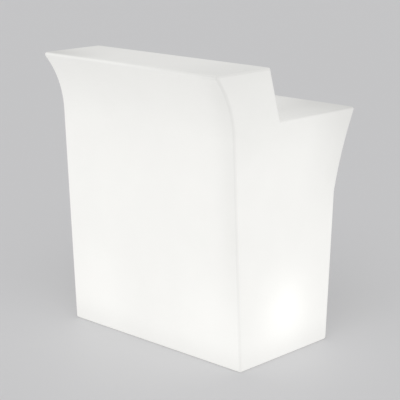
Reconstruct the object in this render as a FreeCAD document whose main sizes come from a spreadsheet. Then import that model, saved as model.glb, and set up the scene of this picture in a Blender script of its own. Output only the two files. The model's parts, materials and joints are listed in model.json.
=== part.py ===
"""Illuminated bar counter: a hollow moulded shell lit from inside by two lamps, with a storage niche.

X runs along the counter, Y from the customer's side to the barkeeper's side, and Z up.
The origin is on the floor under the middle of the overall box. All sizes are in millimetres.
"""

import FreeCAD
import Part
import Sketcher
import math
import os
import re

Vector = FreeCAD.Vector

# Driving sizes, one named value each
SIZES = {
    # Overall form
    "counter_length": 900.0,
    "worktop_height": 900.0,
    "riser_height": 200.0,
    "base_depth": 500.0,
    "front_overhang": 142.0,
    "back_overhang": 147.0,
    "ledge_depth": 290.0,
    "riser_lean": 58.0,
    "front_lean": 41.0,
    "front_flare_height": 231.0,
    "back_lean": 31.0,
    "back_flare_height": 310.0,
    "back_flare_radius": 1313.0,
    "kink_radius": 80.0,
    "edge_radius": 10.0,
    "centring_share": 0.319,
    "wall": 6.0,
    "floor_gap": 3.0,
    "cut_overrun": 1.0,
    "moulded_fit": 0.05,
    # Storage niche and its shelf
    "pillar_width": 100.0,
    "niche_depth": 285.0,
    "niche_floor": 300.0,
    "niche_lower_height": 290.0,
    "niche_headroom": 100.0,
    "niche_ledge": 20.0,
    "niche_radius": 20.0,
    "niche_lip_radius": 5.0,
    "shelf_sheet": 2.0,
    "shelf_depth": 280.0,
    "shelf_clearance": 1.5,
    "shelf_lip": 24.0,
    "shelf_edge_share": 0.9,
    # Service ports under the base, one below each lamp
    "lamp_inset": 150.0,
    "port_radius": 85.0,
    "port_land": 14.0,
    "port_flange": 12.0,
    "cover_clearance": 1.0,
    "cover_thickness": 5.0,
    "gasket_thickness": 1.0,
    "cover_screw_radius": 2.5,
    "cover_head_radius": 4.6,
    "cover_head_depth": 2.4,
    "insert_wall": 1.2,
    "insert_margin": 2.0,
    "thread_clearance": 0.05,
    "drive_radius": 1.5,
    "drive_depth": 1.4,
    # Lamp bracket, lamp holder and bulb
    "lamp_centre_height": 185.0,
    "bracket_sheet": 1.5,
    "bracket_width": 36.0,
    "bracket_span": 60.0,
    "bracket_foot": 14.0,
    "bracket_screw_radius": 2.0,
    "bracket_screw_grip": 3.6,
    "bracket_head_radius": 3.5,
    "bracket_head_height": 2.2,
    "nipple_radius": 5.0,
    "nipple_bore_radius": 3.5,
    "nipple_rise": 9.0,
    "nipple_tail": 2.0,
    "nipple_nut_radius": 8.0,
    "nipple_nut_height": 3.0,
    "holder_radius": 20.5,
    "holder_foot_radius": 15.0,
    "holder_wall": 2.6,
    "holder_base_height": 14.0,
    "holder_height": 57.0,
    "holder_block_height": 9.0,
    "sleeve_wall": 0.5,
    "sleeve_height": 26.0,
    "contact_radius": 4.5,
    "contact_height": 1.0,
    "cap_radius": 13.2,
    "cap_thread_pitch": 3.6,
    "cap_thread_depth": 0.7,
    "cap_shell_height": 22.0,
    "cap_insulator_height": 5.0,
    "cap_play": 0.3,
    "bulb_neck_height": 43.0,
    "neck_collar_share": 0.2,
    "neck_rim_share": 0.85,
    "globe_radius": 30.0,
    "globe_wall": 1.5,
    "globe_rise_share": 0.342,
    "globe_rim_share": 0.9397,
    # Junction box between the lamps
    "box_length": 110.0,
    "box_breadth": 80.0,
    "box_height": 40.0,
    "box_wall": 2.5,
    "box_lid_height": 5.0,
    "box_screw_radius": 1.75,
    "box_screw_length": 12.0,
    "box_post_radius": 4.5,
    "box_post_sink": 1.0,
    "block_length": 36.0,
    "block_breadth": 20.0,
    "block_height": 22.0,
    "lead_radius": 3.0,
    "lead_height": 27.0,
    "lead_clearance": 0.2,
    "lead_sway": 6.0,
    "lead_run_in": 38.0,
    "lead_bend_span": 40.0,
    "lead_lane_gap": 21.0,
    "gland_radius": 8.5,
    "gland_length": 12.0,
    "gland_taper_share": 0.7,
    "gland_thread_radius": 6.0,
    "gland_nut_height": 4.0,
    "clip_width": 10.0,
    "clip_length": 22.0,
    "clip_cover": 3.0,
    "clip_play": 1.0,
    # Levelling feet
    "foot_inset_x": 60.0,
    "foot_inset_y": 50.0,
    "foot_pocket_radius": 32.0,
    "foot_pocket_depth": 17.0,
    "foot_pad_radius": 25.0,
    "foot_pad_height": 10.0,
    "foot_pad_edge": 2.0,
    "foot_socket_radius": 6.5,
    "foot_socket_floor": 3.0,
    "foot_running_gap": 0.1,
    "foot_collar_radius": 7.5,
    "foot_stud_radius": 5.0,
    "foot_stud_length": 30.0,
    "foot_nut_radius": 9.8,
    "foot_nut_height": 4.9,
    "foot_insert_radius": 8.0,
    "foot_insert_length": 30.0,
    "foot_boss_margin": 6.0,
    # Power panel in its well on the barkeeper's side
    "panel_inset": 120.0,
    "panel_centre_height": 118.0,
    "well_width": 150.0,
    "well_height": 96.0,
    "well_depth": 22.0,
    "well_radius": 8.0,
    "plate_margin": 10.0,
    "plate_thickness": 3.0,
    "plate_radius": 6.0,
    "plate_screw_inset": 7.0,
    "plate_screw_radius": 1.75,
    "plate_screw_length": 9.0,
    "plate_head_radius": 3.2,
    "plate_head_height": 1.8,
    "plate_head_rim_share": 0.5,
    "plate_head_top_share": 0.7,
    "panel_frame": 16.0,
    "inlet_offset": 28.0,
    "inlet_width": 32.0,
    "inlet_height": 25.0,
    "inlet_length": 28.0,
    "inlet_flange": 5.0,
    "inlet_flange_thickness": 2.5,
    "socket_width": 25.0,
    "socket_height": 17.0,
    "socket_depth": 22.0,
    "socket_radius": 4.25,
    "pin_width": 2.0,
    "pin_height": 4.0,
    "pin_length": 15.0,
    "pin_tail": 8.0,
    "pin_pitch": 7.0,
    "boot_length": 12.0,
    "boot_margin": 2.0,
    "boot_half_height": 6.0,
    "flap_thickness": 3.0,
    "flap_gap": 0.5,
    "flap_rim": 1.0,
    "flap_axis_rise": 21.0,
    "flap_axis_reach": 4.2,
    "knuckle_radius": 3.2,
    "knuckle_length": 24.0,
    "ear_thickness": 5.0,
    "ear_gap": 0.3,
    "flap_pin_radius": 1.25,
    "flap_running_gap": 0.05,
    "switch_offset": 32.0,
    "switch_width": 22.0,
    "switch_height": 29.0,
    "switch_length": 24.0,
    "switch_flange": 2.5,
    "switch_flange_thickness": 2.0,
    "switch_wall": 2.4,
    "switch_well_depth": 11.0,
    "rocker_half_height": 11.5,
    "rocker_crest": 3.4,
    "rocker_valley": 1.8,
    "rocker_side": 1.0,
    "rocker_keel": 4.5,
    "rocker_keel_half": 3.0,
    "rocker_gap": 0.4,
    "rocker_pivot_depth": 3.6,
    "rocker_pin_radius": 1.2,
    "rocker_tilt": 9.0,
    "tab_width": 6.0,
    "tab_thickness": 0.8,
    "tab_length": 8.0,
    "tab_pitch": 12.0,
    "wire_radius": 1.1,
    "wire_loop": 27.0,
    # Vent plug in the base
    "vent_radius": 4.0,
    "vent_head_radius": 7.0,
    "vent_head_height": 1.5,
    "vent_inset": 90.0,
}

# Places and sizes that follow from the driving ones
FORMULAS = {
    "bar_height": "worktop_height + riser_height",
    "half_length": "counter_length / 2",
    "sharp_depth": "front_overhang + base_depth + back_overhang",
    "back_tip": "sharp_depth / 2 - centring_share * edge_radius",
    "front_tip": "back_tip - sharp_depth",
    "base_front": "front_tip + front_overhang",
    "base_back": "base_front + base_depth",
    "base_middle": "(base_front + base_back) / 2",
    "ledge_back": "front_tip + ledge_depth",
    "riser_foot": "ledge_back + riser_lean",
    "flare_y": "base_front - front_lean",
    "flare_z": "bar_height - front_flare_height",
    "kink_y": "base_back + back_lean",
    "kink_z": "worktop_height - back_flare_height",
    "inner_floor": "floor_gap + wall",
    "niche_width": "counter_length - 2 * pillar_width",
    "niche_back": "base_back - niche_depth",
    "niche_ceiling": "worktop_height - niche_headroom",
    "shelf_seat": "niche_floor + niche_lower_height",
    "lamp_x": "half_length - lamp_inset",
    "cover_radius": "port_radius + port_land",
    "recess_radius": "cover_radius + cover_clearance",
    "cover_top": "floor_gap + cover_thickness",
    "port_seat": "cover_top + gasket_thickness",
    "port_top": "port_seat + port_flange",
    "screw_circle": "port_radius + port_land / 2",
    "insert_radius": "cover_screw_radius + thread_clearance + insert_wall",
    "insert_length": "port_flange - insert_margin",
    "cover_screw_length": "cover_thickness + gasket_thickness + insert_length - insert_margin / 2",
    "cap_height": "cap_shell_height + cap_insulator_height",
    "holder_floor": "holder_base_height + holder_block_height",
    "bulb_start": "holder_floor + contact_height + cap_play",
    "globe_rise": "globe_radius * globe_rise_share",
    "globe_rim_radius": "globe_radius * globe_rim_share",
    "bulb_centre": "bulb_start + cap_height + bulb_neck_height + globe_rise",
    "bracket_top": "lamp_centre_height - bulb_centre",
    "bracket_height": "bracket_top - cover_top",
    "box_floor": "inner_floor + box_wall",
    "foot_x": "half_length - foot_inset_x",
    "foot_front": "base_front + foot_inset_y",
    "foot_back": "base_back - foot_inset_y",
    "pocket_roof": "floor_gap + foot_pocket_depth",
    "collar_top": "pocket_roof - foot_nut_height - foot_running_gap",
    "panel_x": "panel_inset - half_length",
    "inlet_x": "panel_x - inlet_offset",
    "switch_x": "panel_x + switch_offset",
    "well_floor": "base_back - well_depth",
    "plate_back": "well_floor + gasket_thickness",
    "plate_front": "plate_back + plate_thickness",
    "plate_width": "well_width - 2 * plate_margin",
    "plate_height": "well_height - 2 * plate_margin",
    "inlet_front": "plate_front + inlet_flange_thickness",
    "inlet_rear": "inlet_front - inlet_length - inlet_flange_thickness",
    "socket_bottom": "inlet_front - socket_depth",
    "pin_end": "inlet_rear - pin_tail",
    "boot_end": "inlet_rear - boot_length",
    "flap_axis_y": "inlet_front + flap_axis_reach",
    "flap_axis_z": "panel_centre_height + flap_axis_rise",
    "switch_front": "plate_front + switch_flange_thickness",
    "switch_rear": "switch_front - switch_length - switch_flange_thickness",
    "rocker_axis_y": "switch_front - rocker_pivot_depth",
    "vent_y": "base_front + vent_inset",
    "lead_low": "inner_floor + lead_radius + lead_clearance",
    "lead_lane": "base_middle + recess_radius + wall + lead_lane_gap",
    "rim_x": "lamp_x - port_radius - port_land / 2",
}

BULB_RIM_LATITUDE = -20.0
GLOBE_INNER_LATITUDE = -26.0
COVER_SCREW_COUNT = 6
SIDES = {"left": -1, "right": 1}
FOOT_ROWS = {"front": "foot_front", "back": "foot_back"}
THREAD_RIDGES = 5
BEND_REACH_SHARE = 0.45
LANE_SHARES = (0.8, 0.6, 0.4, 0.2)
FLAT = 1e-4

doc = FreeCAD.newDocument("bar_counter")
sheet = doc.addObject("Spreadsheet::Sheet", "Sizes")
finished = {}


def fill_sheet():
    """Writes the driving sizes as plain numbers in column A and the formulas in column C."""
    for row, (name, size) in enumerate(SIZES.items(), start=1):
        sheet.set(f"A{row}", str(size))
        sheet.setAlias(f"A{row}", name)
    doc.recompute()
    for row, (name, formula) in enumerate(FORMULAS.items(), start=1):
        sheet.set(f"C{row}", f"={formula}")
        sheet.setAlias(f"C{row}", name)
        doc.recompute()


def size(name):
    """A named size or place as a number."""
    return float(sheet.get(name))


def on_sheet(formula):
    """The formula with each named size pointing at its cell."""

    def cell(word):
        known = word.group() in SIZES or word.group() in FORMULAS
        return f"Sizes.{word.group()}" if known else word.group()

    return re.sub(r"[a-z_][a-z_0-9]*", cell, formula)


def bind(thing, **formulas):
    """Ties properties of an object to formulas of named sizes."""
    for name, formula in formulas.items():
        thing.setExpression(name, on_sheet(formula))


def put(thing, place):
    """Ties an object's place to three formulas."""
    for axis, formula in zip("xyz", place):
        thing.setExpression(f"Placement.Base.{axis}", on_sheet(formula))
    return thing


def drum(name, radius, height, place=("0", "0", "0"), along="z"):
    """A cylinder from its place, along one axis."""
    thing = doc.addObject("Part::Cylinder", name)
    bind(thing, Radius=radius, Height=height)
    turns = {"x": (Vector(0, 1, 0), 90), "y": (Vector(1, 0, 0), -90), "z": (Vector(0, 0, 1), 0)}
    thing.Placement.Rotation = FreeCAD.Rotation(*turns[along])
    return put(thing, place)


def block(name, low, high):
    """A box between two corners, each of three formulas."""
    thing = doc.addObject("Part::Box", name)
    spans = [f"({far}) - ({near})" for near, far in zip(low, high)]
    bind(thing, Length=spans[0], Width=spans[1], Height=spans[2])
    return put(thing, low)


def fuse(name, *things):
    """One piece out of several that touch."""
    thing = doc.addObject("Part::MultiFuse", name)
    thing.Shapes = list(things)
    return thing


def cut(name, base, *tools):
    """A piece with one or more others taken out of it."""
    thing = doc.addObject("Part::Cut", name)
    thing.Base = base
    thing.Tool = tools[0] if len(tools) == 1 else fuse(f"{name}_tools", *tools)
    return thing


def outline(sketch, corners):
    """A closed outline of straight sides whose corners are pairs of formulas."""
    count = len(corners)
    start = [Vector(math.cos(math.tau * k / count), math.sin(math.tau * k / count), 0) for k in range(count)]
    for k in range(count):
        sketch.addGeometry(Part.LineSegment(start[k], start[(k + 1) % count]))
    for k in range(count):
        sketch.addConstraint(Sketcher.Constraint("Coincident", k, 2, (k + 1) % count, 1))
        pin_point(sketch, (k, 1), corners[k], start[k])


def pin_point(sketch, point, place, start):
    """Fixes one point of a sketch at a pair of formulas, from the place where it is drawn."""
    for kind, formula, drawn in zip(("DistanceX", "DistanceY"), place, start):
        number = sketch.addConstraint(Sketcher.Constraint(kind, -1, 1, *point, drawn))
        sketch.setExpression(f"Constraints[{number}]", on_sheet(formula))


def sketch_in(body, name, role):
    """A sketch on one of a body's origin planes."""
    sketch = body.newObject("Sketcher::SketchObject", name)
    plane = [feature for feature in body.Origin.OriginFeatures if feature.Role == role]
    sketch.AttachmentSupport = [(plane[0], "")]
    sketch.MapMode = "FlatFace"
    return sketch


def turned(name, corners, place=("0", "0", "0")):
    """A round piece, from its half outline of (radius, height) corners."""
    body = doc.addObject("PartDesign::Body", name)
    sketch = sketch_in(body, f"{name}_half_outline", "XZ_Plane")
    outline(sketch, corners)
    spun = body.newObject("PartDesign::Revolution", f"{name}_turned")
    spun.Profile = sketch
    spun.ReferenceAxis = (sketch, ["V_Axis"])
    spun.Angle = 360
    body.Tip = spun
    return put(body, place)


def prism(name, corners, length, role="XY_Plane", place=("0", "0", "0"), centred=False):
    """A piece of one section along its length."""
    body = doc.addObject("PartDesign::Body", name)
    sketch = sketch_in(body, f"{name}_section", role)
    outline(sketch, corners)
    pad = body.newObject("PartDesign::Pad", f"{name}_pad")
    pad.Profile = sketch
    pad.SideType = "Symmetric" if centred else "One side"
    bind(pad, Length=length)
    body.Tip = pad
    return put(body, place)


def hexagon(radius):
    """The corners of a hexagon of this radius, as formulas."""
    return [(f"{radius} * cos({60 * k} deg)", f"{radius} * sin({60 * k} deg)") for k in range(6)]


def rounded(name, base, *rounds):
    """The base with edges rounded in turn, each round a radius formula and a test that picks edges."""
    placed = doc.addObject("Part::Compound", f"{name}_placed")
    placed.Links = [base]
    body = doc.addObject("PartDesign::Body", name)
    body.BaseFeature = placed
    doc.recompute()
    latest = body.Tip
    for number, (radius, wanted) in enumerate(rounds, start=1):
        edges = [(k, edge) for k, edge in enumerate(latest.Shape.Edges, start=1) if not edge.Degenerated]
        found = [f"Edge{k}" for k, edge in edges if wanted(edge)]
        fillet = body.newObject("PartDesign::Fillet", f"{name}_round_{number}")
        fillet.Base = (latest, found)
        bind(fillet, Radius=radius)
        body.Tip = fillet
        doc.recompute()
        latest = fillet
    return body


def middle(edge):
    """The point halfway along an edge."""
    return edge.valueAt((edge.FirstParameter + edge.LastParameter) / 2)


def runs(edge, axis):
    """True for a straight edge along one axis."""
    if edge.Curve.TypeId != "Part::GeomLine":
        return False
    direction = edge.tangentAt(edge.FirstParameter)
    return abs(abs(getattr(direction, axis)) - 1) < FLAT


def copies(name, master, places, turns=None):
    """Separate solids of one shape, each moved by three formulas and, if asked, turned first."""
    group = doc.addObject("Part::Compound", name)
    links = []
    for number, place in enumerate(places):
        link = doc.addObject("App::Link", f"{name}_{number + 1}")
        link.LinkedObject = master
        link.LinkTransform = True
        if turns:
            link.Placement = FreeCAD.Placement(Vector(0, 0, 0), FreeCAD.Rotation(*turns[number]))
        links.append(put(link, place))
    group.Links = links
    return group


def finish(name, thing):
    """Marks a piece as one node of the finished counter."""
    thing.Label = name
    finished[name] = thing
    return thing


def end_profile():
    """The counter's end outline in the YZ plane, with its two arcs under the worktop and the ledge."""
    sketch = doc.addObject("Sketcher::SketchObject", "end_profile")
    sketch.Placement.Rotation = FreeCAD.Rotation(Vector(1, 1, 1), 120)
    corner = {
        "base_front": ("base_front", "floor_gap"),
        "base_back": ("base_back", "floor_gap"),
        "kink": ("kink_y", "kink_z"),
        "worktop_tip": ("back_tip", "worktop_height"),
        "riser_foot": ("riser_foot", "worktop_height"),
        "ledge_back": ("ledge_back", "bar_height"),
        "ledge_tip": ("front_tip", "bar_height"),
        "flare": ("flare_y", "flare_z"),
    }
    at = {name: Vector(*(size(word) for word in words), 0) for name, words in corner.items()}
    sides = [
        ("base_front", "base_back"),
        ("base_back", "kink"),
        ("kink", "worktop_tip"),
        ("worktop_tip", "riser_foot"),
        ("riser_foot", "ledge_back"),
        ("ledge_back", "ledge_tip"),
        ("ledge_tip", "flare"),
        ("flare", "base_front"),
    ]
    lean = (at["flare"] - at["base_front"]).normalize()
    across = Vector(-lean.y, lean.x, 0)
    reach = at["ledge_tip"] - at["flare"]
    flare_radius = reach.dot(reach) / (2 * abs(reach.dot(across)))
    hollow = {"kink": size("back_flare_radius"), "ledge_tip": flare_radius}
    starts = {}
    for number, (near, far) in enumerate(sides):
        if near in hollow:
            # Each flare is an arc with its centre outside the counter, drawn from far to near
            sketch.addGeometry(arc_between(at[far], at[near], hollow[near]))
            starts[near], starts[far] = (number, 2), (number, 1)
        else:
            sketch.addGeometry(Part.LineSegment(at[near], at[far]))
            starts[near] = (number, 1)
    for number, (near, far) in enumerate(sides):
        end = (number, 1) if near in hollow else (number, 2)
        following = (number + 1) % len(sides)
        begin = (following, 2) if sides[following][0] in hollow else (following, 1)
        if far == "flare":
            sketch.addConstraint(Sketcher.Constraint("Tangent", *end, *begin))
        else:
            sketch.addConstraint(Sketcher.Constraint("Coincident", *end, *begin))
        pin_point(sketch, end, corner[far], at[far])
    number = sketch.addConstraint(Sketcher.Constraint("Radius", 2, size("back_flare_radius")))
    sketch.setExpression(f"Constraints[{number}]", on_sheet("back_flare_radius"))
    return sketch


def arc_between(begin, end, radius):
    """An arc of a given radius that turns left from one point to another by less than half a turn."""
    half = (end - begin) / 2
    inward = Vector(-half.y, half.x, 0).normalize()
    centre = begin + half + inward * math.sqrt(radius**2 - half.dot(half))
    turn = [math.atan2(point.y - centre.y, point.x - centre.x) for point in (begin, end)]
    return Part.ArcOfCircle(Part.Circle(centre, Vector(0, 0, 1), radius), *turn)


def swept_form(name, section, length):
    """The end outline drawn out along the counter, half to each side."""
    form = doc.addObject("Part::Extrusion", name)
    form.Base = section
    form.DirMode = "Normal"
    form.Solid = True
    form.Symmetric = True
    bind(form, LengthFwd=length)
    return form


def rounded_form(name, section, length, skin):
    """A drawn out outline with its long edges and end edges rounded, this far inside the outer surface."""
    form = swept_form(f"{name}_drawn", section, length)
    doc.recompute()
    near = 3 * size("wall")
    half = form.Shape.BoundBox.XMax

    def beside(edge, y, z):
        point = middle(edge)
        return runs(edge, "x") and math.hypot(point.y - size(y), point.z - size(z)) < near

    def convex(edge):
        corners = [
            ("base_front", "floor_gap"),
            ("base_back", "floor_gap"),
            ("back_tip", "worktop_height"),
            ("ledge_back", "bar_height"),
            ("front_tip", "bar_height"),
        ]
        return abs(abs(middle(edge).x) - half) < FLAT or any(beside(edge, *corner) for corner in corners)

    return rounded(
        name,
        form,
        (f"kink_radius + {skin}", lambda edge: beside(edge, "kink_y", "kink_z")),
        (f"edge_radius + {skin}", lambda edge: beside(edge, "riser_foot", "worktop_height")),
        (f"edge_radius - {skin}", convex),
    )


def niche_block(name, ledge, low, high, skin, flat_side):
    """A rounded block that hollows one storey of the niche, grown by a skin for the wall behind it."""
    width = f"niche_width / 2 - {ledge} + {skin}"
    back = f"niche_back + {ledge} - {skin}"
    form = block(
        f"{name}_square",
        (f"-({width})", back, low),
        (width, "back_tip + cut_overrun + wall", high),
    )
    doc.recompute()
    box = form.Shape.BoundBox
    flat = box.ZMin if flat_side == "low" else box.ZMax

    def wanted(edge):
        point = middle(edge)
        return abs(point.y - box.YMax) > FLAT and abs(point.z - flat) > FLAT

    return rounded(name, form, (f"niche_radius + {skin}", wanted))


def niche(name, skin):
    """Both storeys of the niche. The upper one is wider, which leaves a ledge for the shelf."""
    lower = niche_block(
        f"{name}_lower",
        "niche_ledge",
        f"niche_floor - {skin}",
        "shelf_seat + cut_overrun",
        skin,
        "high",
    )
    upper = niche_block(
        f"{name}_upper",
        "0",
        f"shelf_seat - {skin}",
        f"niche_ceiling + {skin}",
        skin,
        "low",
    )
    return fuse(name, lower, upper)


def well(name, skin, depth_skin):
    """The recess for the power panel, rounded at its inner edges."""
    half_width = f"well_width / 2 + {skin}"
    half_height = f"well_height / 2 + {skin}"
    form = block(
        f"{name}_square",
        (
            f"panel_x - ({half_width})",
            f"well_floor - {depth_skin}",
            f"panel_centre_height - ({half_height})",
        ),
        (f"panel_x + {half_width}", "kink_y + cut_overrun", f"panel_centre_height + {half_height}"),
    )
    doc.recompute()
    return rounded(name, form, (f"well_radius + {skin}", lambda edge: runs(edge, "y")))


def feet_places():
    """Where the four levelling feet stand."""
    return [(f"{factor} * foot_x", row, "0") for factor in SIDES.values() for row in FOOT_ROWS.values()]


def screw_places(factor):
    """Where the cover screws stand round one lamp."""
    angles = [360 / COVER_SCREW_COUNT * (k + 0.5) for k in range(COVER_SCREW_COUNT)]
    return [
        (
            f"{factor} * lamp_x + screw_circle * cos({angle} deg)",
            f"base_middle + screw_circle * sin({angle} deg)",
            "0",
        )
        for angle in angles
    ]


def all_screw_places():
    """Where the cover screws stand round both lamps."""
    return [place for factor in SIDES.values() for place in screw_places(factor)]


def lamp_places():
    """Where the two lamps stand."""
    return [(f"{factor} * lamp_x", "base_middle", "0") for factor in SIDES.values()]


def corner_places(across, along, centre):
    """Four corners of a rectangle in the XY plane, from its half sizes and its middle."""
    return [(f"{a} * ({across})", f"{centre} + {b} * ({along})", "0") for a in (-1, 1) for b in (-1, 1)]


def plate_screw_places():
    """Where the four screws of the power panel stand, as offsets from the panel's middle."""
    across, up = "plate_width / 2 - plate_screw_inset", "plate_height / 2 - plate_screw_inset"
    return [(f"{a} * ({across})", "0", f"{b} * ({up})") for a in (-1, 1) for b in (-1, 1)]


def shell():
    """The one piece moulded shell: a skin of even thickness round the form, the niche and the recesses."""
    section = end_profile()
    inner_section = doc.addObject("Part::Offset2D", "inner_profile")
    inner_section.Source = section
    inner_section.Join = "Intersection"
    bind(inner_section, Value="-wall")
    outer = rounded_form("outer_form", section, "counter_length", "0")
    inner = rounded_form("inner_form", inner_section, "counter_length - 2 * wall", "wall")
    niche_form, well_form = niche("niche", "0"), well("well", "0", "0")
    opened = cut("opened_form", outer, niche_form, well_form)
    lipped = rounded("lipped_form", opened, ("niche_lip_radius", lip_edges(outer, niche_form, well_form)))
    below = "floor_gap - cut_overrun"
    over = "cut_overrun"
    lamps, feet = lamp_places(), feet_places()
    bosses = [
        copies("port_bosses", drum("port_boss", "recess_radius + wall", "port_top"), lamps),
        copies(
            "pocket_bosses",
            drum("pocket_boss", "foot_pocket_radius + wall", "pocket_roof + wall"),
            feet,
        ),
        copies(
            "insert_bosses",
            drum(
                "insert_boss",
                "foot_insert_radius + foot_boss_margin",
                "pocket_roof + foot_insert_length + wall",
            ),
            feet,
        ),
    ]
    cavity = cut(
        "cavity",
        inner,
        niche("niche_jacket", "wall"),
        well("well_jacket", "wall", "wall"),
        *bosses,
    )
    screw_holes = copies(
        "insert_holes",
        drum(
            "insert_hole",
            "insert_radius + moulded_fit",
            f"insert_length + {over}",
            ("0", "0", f"port_seat - {over}"),
        ),
        all_screw_places(),
    )
    recess_height = f"port_seat - ({below})"
    foot_hole = drum(
        "foot_hole",
        "foot_insert_radius + moulded_fit",
        f"foot_insert_length + {over}",
        ("0", "0", f"pocket_roof - {over}"),
    )
    tools = [
        copies("recesses", drum("recess", "recess_radius", recess_height, ("0", "0", below)), lamps),
        copies("ports", drum("port", "port_radius", "port_top", ("0", "0", below)), lamps),
        copies(
            "pockets",
            drum("pocket", "foot_pocket_radius", f"pocket_roof - ({below})", ("0", "0", below)),
            feet,
        ),
        copies("foot_holes", foot_hole, feet),
        screw_holes,
        panel_opening("panel_opening", "0"),
        panel_screw_holes("wall_screw_holes"),
        drum("vent_hole", "vent_radius + moulded_fit", f"wall + 2 * {over}", ("0", "vent_y", below)),
    ]
    return finish("shell", cut("shell", cut("hollow_form", lipped, cavity), *tools))


def lip_edges(outer, *tools):
    """A test for the edges where the niche and the panel's recess break through the outer surface."""
    skins = [Part.makeCompound(tool.Shape.Faces) for tool in tools]
    outside = Part.makeCompound(outer.Shape.Faces)

    def wanted(edge):
        share = (edge.LastParameter - edge.FirstParameter) / 4
        points = [Part.Vertex(edge.valueAt(edge.FirstParameter + share * k)) for k in range(1, 4)]
        if any(point.distToShape(outside)[0] > FLAT for point in points):
            return False
        return any(all(point.distToShape(skin)[0] < FLAT for point in points) for skin in skins)

    return wanted


def panel_opening(name, skin):
    """The opening behind the power panel that its inlet and switch pass through."""
    half_width = f"plate_width / 2 - panel_frame + {skin}"
    half_height = f"plate_height / 2 - panel_frame + {skin}"
    return block(
        name,
        (
            f"panel_x - ({half_width})",
            "well_floor - wall - cut_overrun",
            f"panel_centre_height - ({half_height})",
        ),
        (f"panel_x + {half_width}", "plate_back + cut_overrun", f"panel_centre_height + {half_height}"),
    )


def panel_screw_holes(name):
    """Round holes for the panel's screws, right through the panel and the wall behind it."""
    hole = drum(
        f"{name}_one",
        "plate_screw_radius + thread_clearance",
        "plate_front - well_floor + wall + 2 * cut_overrun",
        ("panel_x", "well_floor - wall - cut_overrun", "panel_centre_height"),
        "y",
    )
    return copies(name, hole, plate_screw_places())


def shelf():
    """The folded sheet shelf that lies on the niche's ledge, with its front edge turned down."""
    half = "niche_width / 2 - shelf_clearance"
    back = "niche_back + shelf_clearance"
    front = f"{back} + shelf_depth"
    low, high = "shelf_seat", "shelf_seat + shelf_sheet"
    lip_half = "niche_width / 2 - niche_ledge - shelf_clearance"
    sheet_form = block("shelf_sheet_form", (f"-({half})", back, low), (half, front, high))
    doc.recompute()
    corners = rounded(
        "shelf_corners",
        sheet_form,
        (
            "niche_radius - shelf_clearance",
            lambda edge: runs(edge, "z") and middle(edge).y < sheet_form.Shape.BoundBox.Center.y,
        ),
    )
    lip_low = (f"-({lip_half})", f"{front} - shelf_sheet", "shelf_seat - shelf_lip")
    lip = block("shelf_lip_form", lip_low, (lip_half, front, high))
    joined = fuse("shelf_joined", corners, lip)
    doc.recompute()
    edge_y, edge_z = joined.Shape.BoundBox.YMax, joined.Shape.BoundBox.ZMax

    def top_edge(edge):
        point = middle(edge)
        return runs(edge, "x") and abs(point.y - edge_y) < FLAT and abs(point.z - edge_z) < FLAT

    folded = rounded("storage_shelf", joined, ("shelf_sheet * shelf_edge_share", top_edge))
    return finish("storage_shelf", folded)


def countersunk_screw(name):
    """One cover screw with a sunk head and a round drive recess."""
    return turned(
        name,
        [
            ("0", "floor_gap + drive_depth"),
            ("drive_radius", "floor_gap + drive_depth"),
            ("drive_radius", "floor_gap"),
            ("cover_head_radius", "floor_gap"),
            ("cover_screw_radius", "floor_gap + cover_head_depth"),
            ("cover_screw_radius", "floor_gap + cover_screw_length"),
            ("0", "floor_gap + cover_screw_length"),
        ],
    )


def service_ports():
    """Under each lamp: the cover, its gasket, its screws and the brass inserts that take them."""
    screw = countersunk_screw("cover_screw")
    sunk = turned(
        "sunk_hole",
        [
            ("0", "floor_gap"),
            ("cover_head_radius + thread_clearance", "floor_gap"),
            ("cover_screw_radius + thread_clearance", "floor_gap + cover_head_depth"),
            ("cover_screw_radius + thread_clearance", "port_seat + cut_overrun"),
            ("0", "port_seat + cut_overrun"),
        ],
    )
    insert = cut(
        "cover_insert",
        drum("cover_insert_body", "insert_radius", "insert_length", ("0", "0", "port_seat")),
        drum(
            "cover_insert_bore",
            "cover_screw_radius + thread_clearance",
            "port_top",
            ("0", "0", "floor_gap"),
        ),
    )
    finish("cover_screws", copies("cover_screws", screw, all_screw_places()))
    finish("cover_inserts", copies("cover_inserts", insert, all_screw_places()))
    holes = {side: copies(f"sunk_holes_{side}", sunk, screw_places(factor)) for side, factor in SIDES.items()}
    bracket_holes = bracket_screw_tools()
    for side, factor in SIDES.items():
        middle_place = (f"{factor} * lamp_x", "base_middle", "floor_gap")
        disc = drum(f"{side}_cover_disc", "cover_radius", "cover_thickness", middle_place)
        finish(f"{side}_port_cover", cut(f"{side}_port_cover", disc, holes[side], bracket_holes[side]))
        seat = (f"{factor} * lamp_x", "base_middle", "cover_top")
        ring = drum(f"{side}_gasket_disc", "cover_radius", "gasket_thickness", seat)
        opening = drum(f"{side}_gasket_bore", "port_radius + insert_margin / 2", "gasket_thickness", seat)
        finish(f"{side}_port_gasket", cut(f"{side}_port_gasket", ring, opening, holes[side]))


def bracket_screw_places(factor):
    """Where the two screws of a lamp bracket stand."""
    reach = "(bracket_span + bracket_foot) / 2"
    return [(f"{factor} * lamp_x", f"base_middle + {sign} * {reach}", "0") for sign in (-1, 1)]


def bracket_screw_tools():
    """Holes for the brackets' screws in the covers below them."""
    hole = drum(
        "bracket_hole",
        "bracket_screw_radius + thread_clearance",
        "bracket_screw_grip + bracket_sheet + cut_overrun",
        ("0", "0", "cover_top - bracket_screw_grip"),
    )
    return {
        side: copies(f"bracket_holes_{side}", hole, bracket_screw_places(factor))
        for side, factor in SIDES.items()
    }


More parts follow.
